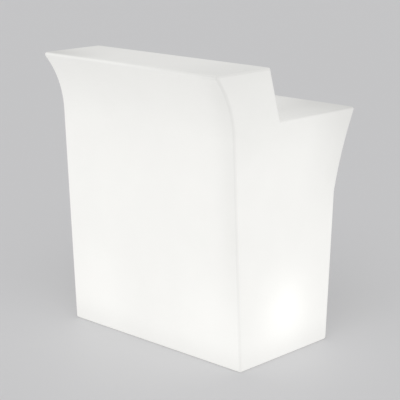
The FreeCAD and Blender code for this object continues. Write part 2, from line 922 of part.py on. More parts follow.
def lamp_brackets():
    """The folded sheet brackets that carry the lamp holders above the covers, with their screws."""
    half, foot, sheet_metal = "bracket_span / 2", "bracket_foot", "bracket_sheet"
    section = [
        (f"-{half} - {foot}", "0"),
        (f"-{half} + {sheet_metal}", "0"),
        (f"-{half} + {sheet_metal}", f"bracket_height - {sheet_metal}"),
        (f"{half} - {sheet_metal}", f"bracket_height - {sheet_metal}"),
        (f"{half} - {sheet_metal}", "0"),
        (f"{half} + {foot}", "0"),
        (f"{half} + {foot}", sheet_metal),
        (half, sheet_metal),
        (half, "bracket_height"),
        (f"-{half}", "bracket_height"),
        (f"-{half}", sheet_metal),
        (f"-{half} - {foot}", sheet_metal),
    ]
    holes = {
        side: copies(
            f"{side}_bracket_foot_holes",
            drum(f"{side}_foot_hole_one", "bracket_screw_radius + thread_clearance", "bracket_top"),
            bracket_screw_places(factor),
        )
        for side, factor in SIDES.items()
    }
    for side, factor in SIDES.items():
        place = (f"{factor} * lamp_x", "base_middle", "cover_top")
        folded = prism(f"{side}_bracket_fold", section, "bracket_width", "YZ_Plane", place, centred=True)
        bore = drum(f"{side}_bracket_bore", "nipple_radius + moulded_fit", "bracket_top", place)
        finish(f"{side}_lamp_bracket", cut(f"{side}_lamp_bracket", folded, bore, holes[side]))
    seat = "cover_top + bracket_sheet"
    screw = turned(
        "bracket_screw",
        [
            ("0", "cover_top - bracket_screw_grip"),
            ("bracket_screw_radius", "cover_top - bracket_screw_grip"),
            ("bracket_screw_radius", seat),
            ("bracket_head_radius", seat),
            ("bracket_head_radius", f"{seat} + bracket_head_height"),
            ("drive_radius", f"{seat} + bracket_head_height"),
            ("drive_radius", f"{seat} + bracket_head_height - drive_depth"),
            ("0", f"{seat} + bracket_head_height - drive_depth"),
        ],
    )
    places = [place for factor in SIDES.values() for place in bracket_screw_places(factor)]
    finish("bracket_screws", copies("bracket_screws", screw, places))


def cap_outline():
    """Half outline of a screw cap: an end contact, an insulating ring and a shell with thread ridges."""
    corners = [("0", "0"), ("contact_radius", "0"), ("contact_radius", "contact_height")]
    corners.append(("cap_radius - cap_thread_depth", "cap_insulator_height"))
    for ridge in range(THREAD_RIDGES):
        foot = f"cap_insulator_height + {ridge} * cap_thread_pitch"
        corners.append(("cap_radius", f"{foot} + cap_thread_pitch / 2"))
        corners.append(("cap_radius - cap_thread_depth", f"{foot} + cap_thread_pitch"))
    corners.append(("cap_radius - cap_thread_depth", "cap_height"))
    corners.append(("0", "cap_height"))
    return corners


def lamps():
    """Each lamp: nipple, nut, holder, contact block, brass sleeve, and the bulb's cap, body and globe."""
    nipple_low = "bracket_top - bracket_sheet - nipple_nut_height - nipple_tail"
    nipple = cut(
        "nipple",
        drum(
            "nipple_rod",
            "nipple_radius",
            f"nipple_rise + bracket_top - ({nipple_low})",
            ("0", "0", nipple_low),
        ),
        drum("nipple_bore", "nipple_bore_radius", "lamp_centre_height", ("0", "0", "cover_top")),
    )
    nut_seat = "bracket_top - bracket_sheet - nipple_nut_height"
    nut = cut(
        "nipple_nut",
        prism(
            "nipple_nut_hex",
            hexagon("nipple_nut_radius"),
            "nipple_nut_height",
            place=("0", "0", nut_seat),
        ),
        drum(
            "nipple_nut_bore",
            "nipple_radius + moulded_fit",
            "lamp_centre_height",
            ("0", "0", "cover_top"),
        ),
    )
    finish("lamp_nipples", copies("lamp_nipples", nipple, lamp_places()))
    finish("nipple_nuts", copies("nipple_nuts", nut, lamp_places()))
    inner = "holder_radius - holder_wall"
    holder = [
        ("nipple_radius + moulded_fit", "0"),
        ("holder_foot_radius", "0"),
        ("holder_radius", "holder_base_height"),
        ("holder_radius", "holder_height"),
        (inner, "holder_height"),
        (inner, "holder_base_height"),
        ("holder_foot_radius - holder_wall", "holder_wall"),
        ("nipple_radius + moulded_fit", "holder_wall"),
    ]
    block_radius = f"{inner} - moulded_fit"
    sleeve_bore = "cap_radius + cap_play"
    for side, factor in SIDES.items():
        place = (f"{factor} * lamp_x", "base_middle", "bracket_top")
        above = (f"{factor} * lamp_x", "base_middle", "bracket_top + holder_floor")
        finish(f"{side}_lamp_holder", turned(f"{side}_lamp_holder", holder, place))
        ceramic = drum(
            f"{side}_block_disc",
            block_radius,
            "holder_block_height",
            (*place[:2], "bracket_top + holder_base_height"),
        )
        terminal = drum(f"{side}_contact", "contact_radius", "contact_height", above)
        finish(f"{side}_contact_block", fuse(f"{side}_contact_block", ceramic, terminal))
        sleeve = cut(
            f"{side}_thread_sleeve",
            drum(f"{side}_sleeve_tube", f"{sleeve_bore} + sleeve_wall", "sleeve_height", above),
            drum(f"{side}_sleeve_bore", sleeve_bore, "sleeve_height", above),
        )
        finish(f"{side}_thread_sleeve", sleeve)
        start = "bracket_top + bulb_start"
        cap = turned(f"{side}_bulb_cap", cap_outline(), (*place[:2], start))
        finish(f"{side}_bulb_cap", cap)
        neck = turned(
            f"{side}_bulb_body",
            [
                ("0", "0"),
                ("cap_radius", "0"),
                ("cap_radius + cap_thread_depth", "bulb_neck_height * neck_collar_share"),
                ("globe_rim_radius", "bulb_neck_height * neck_rim_share"),
                ("globe_rim_radius", "bulb_neck_height"),
                ("0", "bulb_neck_height"),
            ],
            (*place[:2], f"{start} + cap_height"),
        )
        finish(f"{side}_bulb_body", neck)
        finish(f"{side}_bulb_globe", globe(side, (*place[:2], "lamp_centre_height")))


def globe(side, place):
    """The bulb's hollow dome, cut flat where it meets the body."""
    halves = []
    for name, radius, latitude in (
        ("outer", "globe_radius", BULB_RIM_LATITUDE),
        ("inner", "globe_radius - globe_wall", GLOBE_INNER_LATITUDE),
    ):
        ball = doc.addObject("Part::Sphere", f"{side}_globe_{name}")
        bind(ball, Radius=radius)
        ball.Angle1 = latitude
        halves.append(put(ball, place))
    return cut(f"{side}_bulb_globe", *halves)


def junction_box():
    """The box between the lamps: base, lid, screws, terminal block, cable glands and their nuts."""
    half_x, half_y, top = "box_length / 2", "box_breadth / 2", "inner_floor + box_height"
    low = (f"-{half_x}", f"base_middle - {half_y}", "inner_floor")
    high = (half_x, f"base_middle + {half_y}", top)
    inside = (f"-{half_x} + box_wall", f"base_middle - {half_y} + box_wall", "box_floor")
    outside = (f"{half_x} - box_wall", f"base_middle + {half_y} - box_wall", f"{top} + cut_overrun")
    inset = "box_wall - box_post_radius + box_post_sink"
    corners = corner_places(f"{half_x} - {inset}", f"{half_y} - {inset}", "base_middle")
    post = drum("box_post", "box_post_radius", "box_height - box_wall", ("0", "0", "box_floor"))
    bore = drum(
        "box_post_bore",
        "box_screw_radius + thread_clearance",
        "box_screw_length + box_lid_height",
        ("0", "0", f"{top} + box_lid_height - box_screw_length"),
    )
    bores = copies("box_post_bores", bore, corners)
    reach = "gland_thread_radius + moulded_fit"
    holes = [
        drum("box_hole_along", reach, "box_length", (f"-({half_x})", "base_middle", "lead_height"), "x"),
        drum("box_hole_back", reach, half_y, ("0", "base_middle", "lead_height"), "y"),
    ]
    walls = cut("box_walls", block("box_outside", low, high), block("box_inside", inside, outside), *holes)
    posts = copies("box_posts", post, corners)
    finish("junction_box", cut("junction_box", fuse("box_with_posts", walls, posts), bores))
    lid = block("box_lid_form", (*low[:2], top), (*high[:2], f"{top} + box_lid_height"))
    finish("junction_box_lid", cut("junction_box_lid", lid, bores))
    lid_top = f"{top} + box_lid_height"
    screw = turned(
        "box_screw",
        [
            ("0", f"{lid_top} - box_screw_length"),
            ("box_screw_radius", f"{lid_top} - box_screw_length"),
            ("box_screw_radius", lid_top),
            ("bracket_head_radius", lid_top),
            ("bracket_head_radius", f"{lid_top} + bracket_head_height"),
            ("drive_radius", f"{lid_top} + bracket_head_height"),
            ("drive_radius", f"{lid_top} + bracket_head_height - drive_depth"),
            ("0", f"{lid_top} + bracket_head_height - drive_depth"),
        ],
    )
    finish("lid_screws", copies("lid_screws", screw, corners))
    strip = block(
        "terminal_block",
        ("-block_length / 2", "base_middle - block_breadth / 2", "box_floor"),
        ("block_length / 2", "base_middle + block_breadth / 2", "box_floor + block_height"),
    )
    finish("terminal_block", strip)
    box_glands()


def box_glands():
    """Three cable glands in the box's walls, and the nuts inside that hold them."""
    bore = "lead_radius + lead_clearance"
    gland = [
        (bore, "-box_wall - gland_nut_height"),
        ("gland_thread_radius", "-box_wall - gland_nut_height"),
        ("gland_thread_radius", "0"),
        ("gland_radius", "0"),
        ("gland_radius", "gland_length * gland_taper_share"),
        ("gland_thread_radius", "gland_length"),
        (bore, "gland_length"),
    ]
    ring = cut(
        "gland_nut",
        prism(
            "gland_nut_hex",
            hexagon("gland_radius"),
            "gland_nut_height",
            place=("0", "0", "-box_wall - gland_nut_height"),
        ),
        drum(
            "gland_nut_bore",
            "gland_thread_radius + moulded_fit",
            "box_height",
            ("0", "0", "-box_height / 2"),
        ),
    )
    places = [
        ("-box_length / 2", "base_middle", "lead_height"),
        ("box_length / 2", "base_middle", "lead_height"),
        ("0", "base_middle + box_breadth / 2", "lead_height"),
    ]
    turns = [(Vector(0, 1, 0), -90), (Vector(0, 1, 0), 90), (Vector(1, 0, 0), -90)]
    finish("box_glands", copies("box_glands", turned("gland", gland), places, turns))
    finish("gland_nuts", copies("gland_nuts", ring, places, turns))


def path_of(points):
    """A wire of straight runs joined by tangent arcs as large as the runs allow, and its smallest radius."""
    runs_between = [far - near for near, far in zip(points, points[1:])]
    edges, smallest, cursor = [], math.inf, points[0]
    for point, before, after in zip(points[1:], runs_between, runs_between[1:]):
        turn = before.getAngle(after)
        reach = BEND_REACH_SHARE * min(before.Length, after.Length)
        radius = reach / math.tan(turn / 2)
        smallest = min(smallest, radius)
        into = Vector(before).normalize()
        out = Vector(after).normalize()
        near, far = point - into * reach, point + out * reach
        inward = (out - into).normalize()
        apex = point + inward * (radius / math.cos(turn / 2) - radius)
        edges.append(Part.LineSegment(cursor, near).toShape())
        edges.append(Part.Arc(near, apex, far).toShape())
        cursor = far
    edges.append(Part.LineSegment(cursor, points[-1]).toShape())
    return Part.Wire(edges), smallest


def tube_shape(name, points, radius):
    """A round lead along a path, measured against its section times its length."""
    wire, smallest = path_of([Vector(*point) for point in points])
    start = Vector(*points[1]) - Vector(*points[0])
    ring = Part.Wire([Part.makeCircle(radius, Vector(*points[0]), start)])
    solid = wire.makePipeShell([ring], True, False)
    share = solid.Volume / (math.pi * radius**2 * wire.Length)
    print(f"{name}: length {wire.Length:.0f} mm, smallest bend {smallest:.1f} mm, volume share {share:.4f}")
    return solid


def tubes(name, routes, radius):
    """One or more leads as one node."""
    thing = doc.addObject("Part::Feature", name)
    thing.Shape = Part.makeCompound([tube_shape(name, route, radius) for route in routes])
    finish(name, thing)


def leads():
    """The wiring inside: one lead from the power inlet to the box and one from the box to each lamp."""
    level, centre, sway = size("lead_height"), size("base_middle"), size("lead_sway")
    radius, across, rim = size("lead_radius"), size("lamp_x"), size("rim_x")
    outside_box = size("box_length") / 2 + size("gland_length")
    clips = []
    for side, factor in SIDES.items():
        route = [
            (factor * size("block_length") / 2, centre, level),
            (factor * (outside_box + size("lead_run_in")), centre, level),
            (factor * (rim - size("lead_bend_span")), centre + sway, level),
            (factor * (rim + size("lead_bend_span")), centre, level),
            (factor * across, centre, level),
            (factor * across, centre, size("bracket_top") + size("holder_base_height")),
        ]
        tubes(f"{side}_lamp_lead", [route], radius)
        clips.append(("port_top", factor * rim, centre + sway / 2, level))
    low, lane = size("lead_low"), size("lead_lane")
    inlet_x, top = size("inlet_x"), size("panel_centre_height")
    steps = [inlet_x * share for share in LANE_SHARES]
    behind_box = centre + size("box_breadth") / 2 + size("gland_length") + size("clip_length")
    route = [
        (inlet_x, size("boot_end"), top),
        (inlet_x, lane, top),
        (inlet_x + sway, lane, (top + low) / 2),
        (inlet_x, lane, low),
        (steps[0], lane + sway / 2, low),
        (steps[1], lane - sway / 2, low),
        (steps[2], lane + sway / 2, low),
        (steps[3], lane, (low + level) / 2),
        (-sway / 2, lane, level),
        (0, behind_box, level),
        (0, centre + size("block_breadth") / 2, level),
    ]
    tubes("supply_lead", [route], radius)
    clips.append(("inner_floor", (steps[0] + steps[1]) / 2, lane, low))
    clips.append(("inner_floor", (steps[1] + steps[2]) / 2, lane, low))
    lead_clips(clips)


def lead_clips(seats):
    """Saddles that hold the leads down: one on each port's rim and two on the floor."""
    saddles = []
    for number, (floor, x, y, axis) in enumerate(seats, start=1):
        name = f"clip_{number}"
        foot = block(
            name,
            (f"{x} - clip_width / 2", f"{y} - clip_length / 2", floor),
            (
                f"{x} + clip_width / 2",
                f"{y} + clip_length / 2",
                f"{axis} + lead_radius + clip_play + clip_cover",
            ),
        )
        start = (f"{x} - clip_width / 2", str(y), str(axis))
        bore = drum(f"{name}_bore", "lead_radius + clip_play", "clip_width", start, "x")
        saddles.append(cut(f"{name}_saddle", foot, bore))
    group = doc.addObject("Part::Compound", "lead_clips")
    group.Links = saddles
    finish("lead_clips", group)


def levelling_feet():
    """Four feet, each a rubber pad on a threaded stud, with a lock nut and an insert in the shell."""
    insert = cut(
        "foot_insert",
        drum("foot_insert_body", "foot_insert_radius", "foot_insert_length", ("0", "0", "pocket_roof")),
        drum(
            "foot_insert_bore",
            "foot_stud_radius + thread_clearance",
            "bar_height / 2",
            ("0", "0", "floor_gap"),
        ),
    )
    nut = cut(
        "foot_nut",
        prism(
            "foot_nut_hex",
            hexagon("foot_nut_radius"),
            "foot_nut_height",
            place=("0", "0", "pocket_roof - foot_nut_height"),
        ),
        drum("foot_nut_bore", "foot_stud_radius + thread_clearance", "bar_height / 2", ("0", "0", "0")),
    )
    finish("foot_inserts", copies("foot_inserts", insert, feet_places()))
    finish("foot_lock_nuts", copies("foot_lock_nuts", nut, feet_places()))
    pad = [
        ("0", "0"),
        ("foot_pad_radius - foot_pad_edge", "0"),
        ("foot_pad_radius", "foot_pad_edge"),
        ("foot_pad_radius", "foot_pad_height - foot_pad_edge"),
        ("foot_pad_radius - foot_pad_edge", "foot_pad_height"),
        ("foot_socket_radius", "foot_pad_height"),
        ("foot_socket_radius", "foot_socket_floor"),
        ("0", "foot_socket_floor"),
    ]
    for row, y in FOOT_ROWS.items():
        for side, factor in SIDES.items():
            one_foot(f"{row}_{side}", (f"{factor} * foot_x", y), pad)


def one_foot(where, place, pad):
    """One foot's pad, and its stud with a spigot in the pad, a hexagonal collar and a threaded rod."""
    finish(f"{where}_foot_pad", turned(f"{where}_foot_pad", pad, (*place, "0")))
    spigot = drum(
        f"{where}_spigot",
        "foot_socket_radius - foot_running_gap",
        "foot_pad_height - foot_socket_floor + foot_pad_edge",
        (*place, "foot_socket_floor"),
    )
    collar = prism(
        f"{where}_collar",
        hexagon("foot_collar_radius"),
        "collar_top - foot_pad_height",
        place=(*place, "foot_pad_height"),
    )
    rod = drum(
        f"{where}_rod",
        "foot_stud_radius",
        "foot_stud_length + collar_top - foot_pad_height",
        (*place, "foot_pad_height"),
    )
    finish(f"{where}_foot_stud", fuse(f"{where}_foot_stud", spigot, collar, rod))


def power_panel():
    """The panel in its well: plate, gasket, screws, mains inlet with a hinged flap, and a rocker switch."""
    half_width, half_height = "plate_width / 2", "plate_height / 2"
    centre = "panel_centre_height"

    def slab(name, back, front):
        form = block(
            f"{name}_square",
            (f"panel_x - {half_width}", back, f"{centre} - {half_height}"),
            (f"panel_x + {half_width}", front, f"{centre} + {half_height}"),
        )
        doc.recompute()
        return rounded(f"{name}_rounded", form, ("plate_radius", lambda edge: runs(edge, "y")))

    def passage(name, x, width, height):
        return block(
            name,
            (
                f"{x} - {width} / 2 - moulded_fit",
                "well_floor - wall",
                f"{centre} - {height} / 2 - moulded_fit",
            ),
            (f"{x} + {width} / 2 + moulded_fit", "inlet_front", f"{centre} + {height} / 2 + moulded_fit"),
        )

    holes = panel_screw_holes("plate_screw_holes")
    finish(
        "panel_plate",
        cut(
            "panel_plate",
            slab("plate", "plate_back", "plate_front"),
            passage("inlet_passage", "inlet_x", "inlet_width", "inlet_height"),
            passage("switch_passage", "switch_x", "switch_width", "switch_height"),
            holes,
        ),
    )
    finish(
        "panel_gasket",
        cut(
            "panel_gasket",
            slab("panel_gasket_slab", "well_floor", "plate_back"),
            panel_opening("gasket_opening", "cut_overrun"),
            holes,
        ),
    )
    screw = turned(
        "plate_screw",
        [
            ("0", "-plate_screw_length"),
            ("plate_screw_radius", "-plate_screw_length"),
            ("plate_screw_radius", "0"),
            ("plate_head_radius", "0"),
            ("plate_head_radius", "plate_head_height * plate_head_rim_share"),
            ("plate_head_radius * plate_head_top_share", "plate_head_height"),
            ("drive_radius", "plate_head_height"),
            ("drive_radius", "plate_head_height - drive_depth"),
            ("0", "plate_head_height - drive_depth"),
        ],
        ("panel_x", "plate_front", "panel_centre_height"),
    )
    screw.Placement.Rotation = FreeCAD.Rotation(Vector(1, 0, 0), -90)
    finish("panel_screws", copies("panel_screws", screw, plate_screw_places()))
    mains_inlet()
    inlet_flap()
    rocker_switch()
    panel_wires()


def mains_inlet():
    """The inlet's moulding with the two ears of its flap, and its three blades with their tails."""
    centre = "panel_centre_height"
    wide, high = "inlet_width / 2", "inlet_height / 2"
    body = block(
        "inlet_core",
        (f"inlet_x - {wide}", "inlet_rear", f"{centre} - {high}"),
        (f"inlet_x + {wide}", "plate_front", f"{centre} + {high}"),
    )
    flange = block(
        "inlet_flange_form",
        (f"inlet_x - {wide} - inlet_flange", "plate_front", f"{centre} - {high} - inlet_flange"),
        (f"inlet_x + {wide} + inlet_flange", "inlet_front", "flap_axis_z + knuckle_radius"),
    )
    doc.recompute()
    soft_flange = rounded("inlet_flange_soft", flange, ("inlet_flange / 2", lambda edge: runs(edge, "y")))
    ears = []
    for name, sign in (("low", "-1"), ("high", "1")):
        start = f"inlet_x + {sign} * (knuckle_length / 2 + ear_gap)"
        end = f"{start} + {sign} * ear_thickness"
        near, far = (end, start) if sign == "-1" else (start, end)
        ears.append(
            block(
                f"inlet_ear_{name}",
                (near, "plate_front", "flap_axis_z - knuckle_radius"),
                (far, "flap_axis_y", "flap_axis_z + knuckle_radius"),
            )
        )
        ears.append(
            drum(
                f"inlet_ear_{name}_nose",
                "knuckle_radius",
                f"({far}) - ({near})",
                (near, "flap_axis_y", "flap_axis_z"),
                "x",
            )
        )
    pin_hole = drum(
        "inlet_pin_hole",
        "flap_pin_radius + moulded_fit",
        "knuckle_length + 4 * ear_thickness",
        ("inlet_x - knuckle_length / 2 - 2 * ear_thickness", "flap_axis_y", "flap_axis_z"),
        "x",
    )
    socket = block(
        "socket",
        ("inlet_x - socket_width / 2", "socket_bottom", f"{centre} - socket_height / 2"),
        ("inlet_x + socket_width / 2", "inlet_front + cut_overrun", f"{centre} + socket_height / 2"),
    )
    doc.recompute()

    def upper_corner(edge):
        return runs(edge, "y") and middle(edge).z > size("panel_centre_height")

    soft_socket = rounded("socket_soft", socket, ("socket_radius", upper_corner))
    blade = block(
        "blade",
        ("inlet_x - pin_width / 2", "pin_end", f"{centre} - pin_height / 2"),
        ("inlet_x + pin_width / 2", "socket_bottom + pin_length", f"{centre} + pin_height / 2"),
    )
    slot = block(
        "blade_slot",
        ("inlet_x - pin_width / 2 - moulded_fit", "pin_end", f"{centre} - pin_height / 2 - moulded_fit"),
        (
            "inlet_x + pin_width / 2 + moulded_fit",
            "socket_bottom + pin_length",
            f"{centre} + pin_height / 2 + moulded_fit",
        ),
    )
    places = [(f"{step} * pin_pitch", "0", "0") for step in (-1, 0, 1)]
    slots = copies("blade_slots", slot, places)
    solid = fuse("inlet_solid", body, soft_flange, *ears)
    finish("inlet_body", cut("inlet_body", solid, soft_socket, pin_hole, slots))
    finish("inlet_blades", copies("inlet_blades", blade, places))
    side = "pin_pitch + pin_width / 2 + boot_margin"
    boot = block(
        "boot_form",
        (f"inlet_x - ({side})", "boot_end", f"{centre} - boot_half_height"),
        (f"inlet_x + {side}", "inlet_rear", f"{centre} + boot_half_height"),
    )
    finish("inlet_boot", cut("inlet_boot", boot, slots))


def inlet_flap():
    """The splash flap over the inlet, hung on a steel pin between the ears."""
    centre = "panel_centre_height"
    wide = "inlet_width / 2 + inlet_flange + flap_rim"
    low = f"{centre} - inlet_height / 2 - inlet_flange - flap_rim"
    back, front = "inlet_front + flap_gap", "inlet_front + flap_gap + flap_thickness"
    leaf_high = (f"inlet_x + {wide}", front, "flap_axis_z - knuckle_radius - flap_rim")
    leaf = block("flap_leaf", (f"inlet_x - ({wide})", back, low), leaf_high)
    doc.recompute()
    soft_leaf = rounded("flap_leaf_soft", leaf, ("inlet_flange / 2", lambda edge: runs(edge, "y")))
    neck = block(
        "flap_neck",
        ("inlet_x - knuckle_length / 2", back, "flap_axis_z - knuckle_radius - 2 * flap_rim"),
        ("inlet_x + knuckle_length / 2", front, "flap_axis_z"),
    )
    start = ("inlet_x - knuckle_length / 2", "flap_axis_y", "flap_axis_z")
    barrel = drum("flap_barrel", "knuckle_radius", "knuckle_length", start, "x")
    bore = drum(
        "flap_bore",
        "flap_pin_radius + flap_running_gap",
        "knuckle_length + 2 * cut_overrun",
        ("inlet_x - knuckle_length / 2 - cut_overrun", "flap_axis_y", "flap_axis_z"),
        "x",
    )
    finish("inlet_flap", cut("inlet_flap", fuse("flap_solid", soft_leaf, neck, barrel), bore))
    half = "knuckle_length / 2 + ear_gap + ear_thickness"
    finish(
        "flap_pin",
        drum(
            "flap_pin",
            "flap_pin_radius",
            f"2 * ({half})",
            (f"inlet_x - ({half})", "flap_axis_y", "flap_axis_z"),
            "x",
        ),
    )


def rocker_switch():
    """The switch housing, its tails, and the rocker on its trunnions, at rest in the on position."""
    centre = "panel_centre_height"
    wide, high = "switch_width / 2", "switch_height / 2"
    core = block(
        "switch_core",
        (f"switch_x - {wide}", "switch_rear", f"{centre} - {high}"),
        (f"switch_x + {wide}", "plate_front", f"{centre} + {high}"),
    )
    flange = block(
        "switch_flange_form",
        (f"switch_x - {wide} - switch_flange", "plate_front", f"{centre} - {high} - switch_flange"),
        (f"switch_x + {wide} + switch_flange", "switch_front", f"{centre} + {high} + switch_flange"),
    )
    doc.recompute()
    soft_flange = rounded("switch_flange_soft", flange, ("switch_flange / 2", lambda edge: runs(edge, "y")))
    cavity = block(
        "switch_cavity",
        (
            f"switch_x - {wide} + switch_wall",
            "switch_front - switch_well_depth",
            f"{centre} - rocker_half_height - 3 * rocker_gap",
        ),
        (
            f"switch_x + {wide} - switch_wall",
            "switch_front + cut_overrun",
            f"{centre} + rocker_half_height + 3 * rocker_gap",
        ),
    )
    trunnion_half = f"{wide} - switch_wall / 2"
    seat = drum(
        "trunnion_seat",
        "rocker_pin_radius + flap_running_gap",
        f"2 * ({trunnion_half} + moulded_fit)",
        (f"switch_x - ({trunnion_half}) - moulded_fit", "rocker_axis_y", centre),
        "x",
    )
    solid = fuse("switch_solid", core, soft_flange)
    finish("switch_housing", cut("switch_housing", solid, cavity, seat))
    section = [
        ("rocker_crest", "-rocker_half_height"),
        ("rocker_valley", "0"),
        ("rocker_crest", "rocker_half_height"),
        ("-rocker_side", "rocker_half_height"),
        ("-rocker_keel", "rocker_keel_half"),
        ("-rocker_keel", "-rocker_keel_half"),
        ("-rocker_side", "-rocker_half_height"),
    ]
    place = ("switch_x", "rocker_axis_y", centre)
    paddle = prism(
        "rocker_paddle",
        section,
        "switch_width - 2 * switch_wall - 2 * rocker_gap",
        "YZ_Plane",
        place,
        centred=True,
    )
    paddle.Placement.Rotation = FreeCAD.Rotation(Vector(1, 0, 0), size("rocker_tilt"))
    start = (f"switch_x - ({trunnion_half})", "rocker_axis_y", centre)
    trunnions = drum("rocker_trunnions", "rocker_pin_radius", f"2 * ({trunnion_half})", start, "x")
    finish("rocker", fuse("rocker", paddle, trunnions))
    tab = block(
        "switch_tab",
        ("switch_x - tab_width / 2", "switch_rear - tab_length", f"{centre} - tab_thickness / 2"),
        ("switch_x + tab_width / 2", "switch_rear", f"{centre} + tab_thickness / 2"),
    )
    levels = [("0", "0", f"{step} * tab_pitch / 2") for step in (-1, 1)]
    finish("switch_tabs", copies("switch_tabs", tab, levels))


def panel_wires():
    """The two short wires from the inlet's boot to the switch's tabs."""
    boot_x, tab_x = size("inlet_x") + size("pin_pitch"), size("switch_x")
    boot_end, tab_end = size("boot_end"), size("switch_rear") - size("tab_length")
    routes = []
    for sign in (-1, 1):
        near = size("panel_centre_height") + sign * size("boot_half_height") / 2
        far = size("panel_centre_height") + sign * size("tab_pitch") / 2
        routes.append(
            [
                (boot_x, boot_end, near),
                (boot_x, boot_end - size("wire_loop"), near),
                (tab_x, boot_end - size("wire_loop"), far),
                (tab_x, tab_end, far),
            ]
        )
    tubes("switch_wires", routes, size("wire_radius"))


def vent_plug():
    """The plug in the base that lets the shell breathe and drain."""
    finish(
        "vent_plug",
        turned(
            "vent_plug",
            [
                ("0", "floor_gap - vent_head_height"),
                ("vent_head_radius", "floor_gap - vent_head_height"),
                ("vent_head_radius", "floor_gap"),
                ("vent_radius", "floor_gap"),
                ("vent_radius", "inner_floor"),
                ("0", "inner_floor"),
            ],
            ("0", "vent_y", "0"),
        ),
    )


def check_and_write():
    """Stops if any object failed or a piece is not sound, then writes one file for each piece."""
    doc.recompute()
    failed = [thing.Name for thing in doc.Objects if {"Invalid", "Error"} & set(thing.State)]
    if failed:
        raise RuntimeError(f"objects that failed: {failed}")
    os.makedirs("parts", exist_ok=True)
    for name, thing in finished.items():
        shape = thing.Shape
        if shape.isNull() or not shape.isValid() or not shape.Solids:
            raise RuntimeError(f"{name} is not a sound solid")
        shape.exportStep(os.path.join("parts", f"{name}.step"))
        print(f"{name}: {len(shape.Solids)} solid(s), volume {shape.Volume:.0f} mm3")


def main():
    fill_sheet()
    shell()
    shelf()
    service_ports()
    lamp_brackets()
    lamps()
    junction_box()
    leads()
    levelling_feet()
    power_panel()
    vent_plug()
    check_and_write()


main()
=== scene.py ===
"""Illuminated bar counter: finishes, fine detail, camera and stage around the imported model.

The counter stands on the floor with its customer's side towards -Y and the barkeeper's side
towards +Y. Settings are in metres. The shaping functions and the parts' outlines are in
millimetres, unless their own words say metres.
"""

import json
import math

import bmesh
import bpy
from bpy.props import FloatProperty, FloatVectorProperty, IntProperty, PointerProperty
from bpy.types import Operator, Panel, PropertyGroup
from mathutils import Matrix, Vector


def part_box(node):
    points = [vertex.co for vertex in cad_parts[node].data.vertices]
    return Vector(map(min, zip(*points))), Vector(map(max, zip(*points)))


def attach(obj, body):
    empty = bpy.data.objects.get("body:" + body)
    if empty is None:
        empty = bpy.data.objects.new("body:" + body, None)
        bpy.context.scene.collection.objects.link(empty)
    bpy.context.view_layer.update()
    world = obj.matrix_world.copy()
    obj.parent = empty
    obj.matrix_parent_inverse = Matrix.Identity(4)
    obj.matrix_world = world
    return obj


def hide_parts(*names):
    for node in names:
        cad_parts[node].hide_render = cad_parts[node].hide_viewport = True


bl_info = {
    "name": "Illuminated bar counter",
    "version": (1, 0, 0),
    "blender": (4, 5, 0),
    "location": "View3D > Sidebar > Bar Counter",
    "description": "Dresses the packed bar counter with its finishes and fine parts",
    "category": "Object",
}

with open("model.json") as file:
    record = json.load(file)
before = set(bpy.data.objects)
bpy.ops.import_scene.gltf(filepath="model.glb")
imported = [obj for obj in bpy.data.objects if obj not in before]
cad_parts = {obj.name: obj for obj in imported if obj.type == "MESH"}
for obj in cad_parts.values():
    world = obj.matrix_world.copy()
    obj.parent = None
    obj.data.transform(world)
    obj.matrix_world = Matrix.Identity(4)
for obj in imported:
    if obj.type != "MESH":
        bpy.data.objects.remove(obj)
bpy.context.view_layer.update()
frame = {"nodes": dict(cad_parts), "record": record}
NODES = frame["nodes"]
BODIES = {
    node: body for body, nodes in frame["record"]["behaviour"]["bodies"].items() for node in nodes
}
SIDES = ("left", "right")
FEET = ("front_left", "front_right", "back_left", "back_right")
MM = 0.001
SEAM = MM / 200  # points of a lathed piece that are this close become one
WELD = MM / 500  # points of a finished piece that are this close become one
NEAR = MM / 100  # places this close count as the same
SMOOTH_ANGLE = math.radians(32.0)  # edges sharper than this stay crisp
FLAT_ANGLE = math.radians(0.5)  # faces that turn less than this become one

# Where each change of the shell's light starts and where it is whole, in metres along its axis
WORKTOP_ENDS_ACROSS = (0.1, 0.3)
TOPS_UP = (0.35, 0.8)
LEDGE_UP = (1.0, 1.08)
LEDGE_ENDS_ACROSS = (0.15, 0.45)
LEDGE_CORNER_ACROSS, LEDGE_CORNER_ALONG = (-0.1, -0.45), (-0.2, -0.4)
RIM_ACROSS = (-0.1, 0.3)
TIP_ALONG, TIP_UP = (0.05, 0.42), (0.42, 0.7)
ENDS_UP = (0.7, 0.9)
FOOT_UP = (0.11, 0.0)
# Painted shade: a darker band of glow on the front beside the right end's corner
SHADED_BAND_ACROSS, SHADED_BAND_UP = (0.33, 0.45), (0.1, 0.55)
NICHE_ACROSS, NICHE_ALONG = (0.354, 0.348), (-0.06, -0.045)
NICHE_FLOOR_UP, NICHE_ROOF_UP = (0.292, 0.304), (0.806, 0.796)
# How far the wall has to face the customer, from nothing to wholly, for its painted band of shade
SHADED_BAND_FACING = (-0.6, -0.95)
# How fast the tops' loss fades as the surface turns away from level
WORKTOP_FADE, LEDGE_FADE = 1.5, 3.0

THREAD_DEPTH = 0.55  # depth of a thread's ridges, as a share of its pitch
COVER_FACE = 3.0  # height of the port covers' faces above the floor, in millimetres
COVER_SCREW_RING = 92.0  # radius of the ring of screws in a port cover, in millimetres


# Finishes


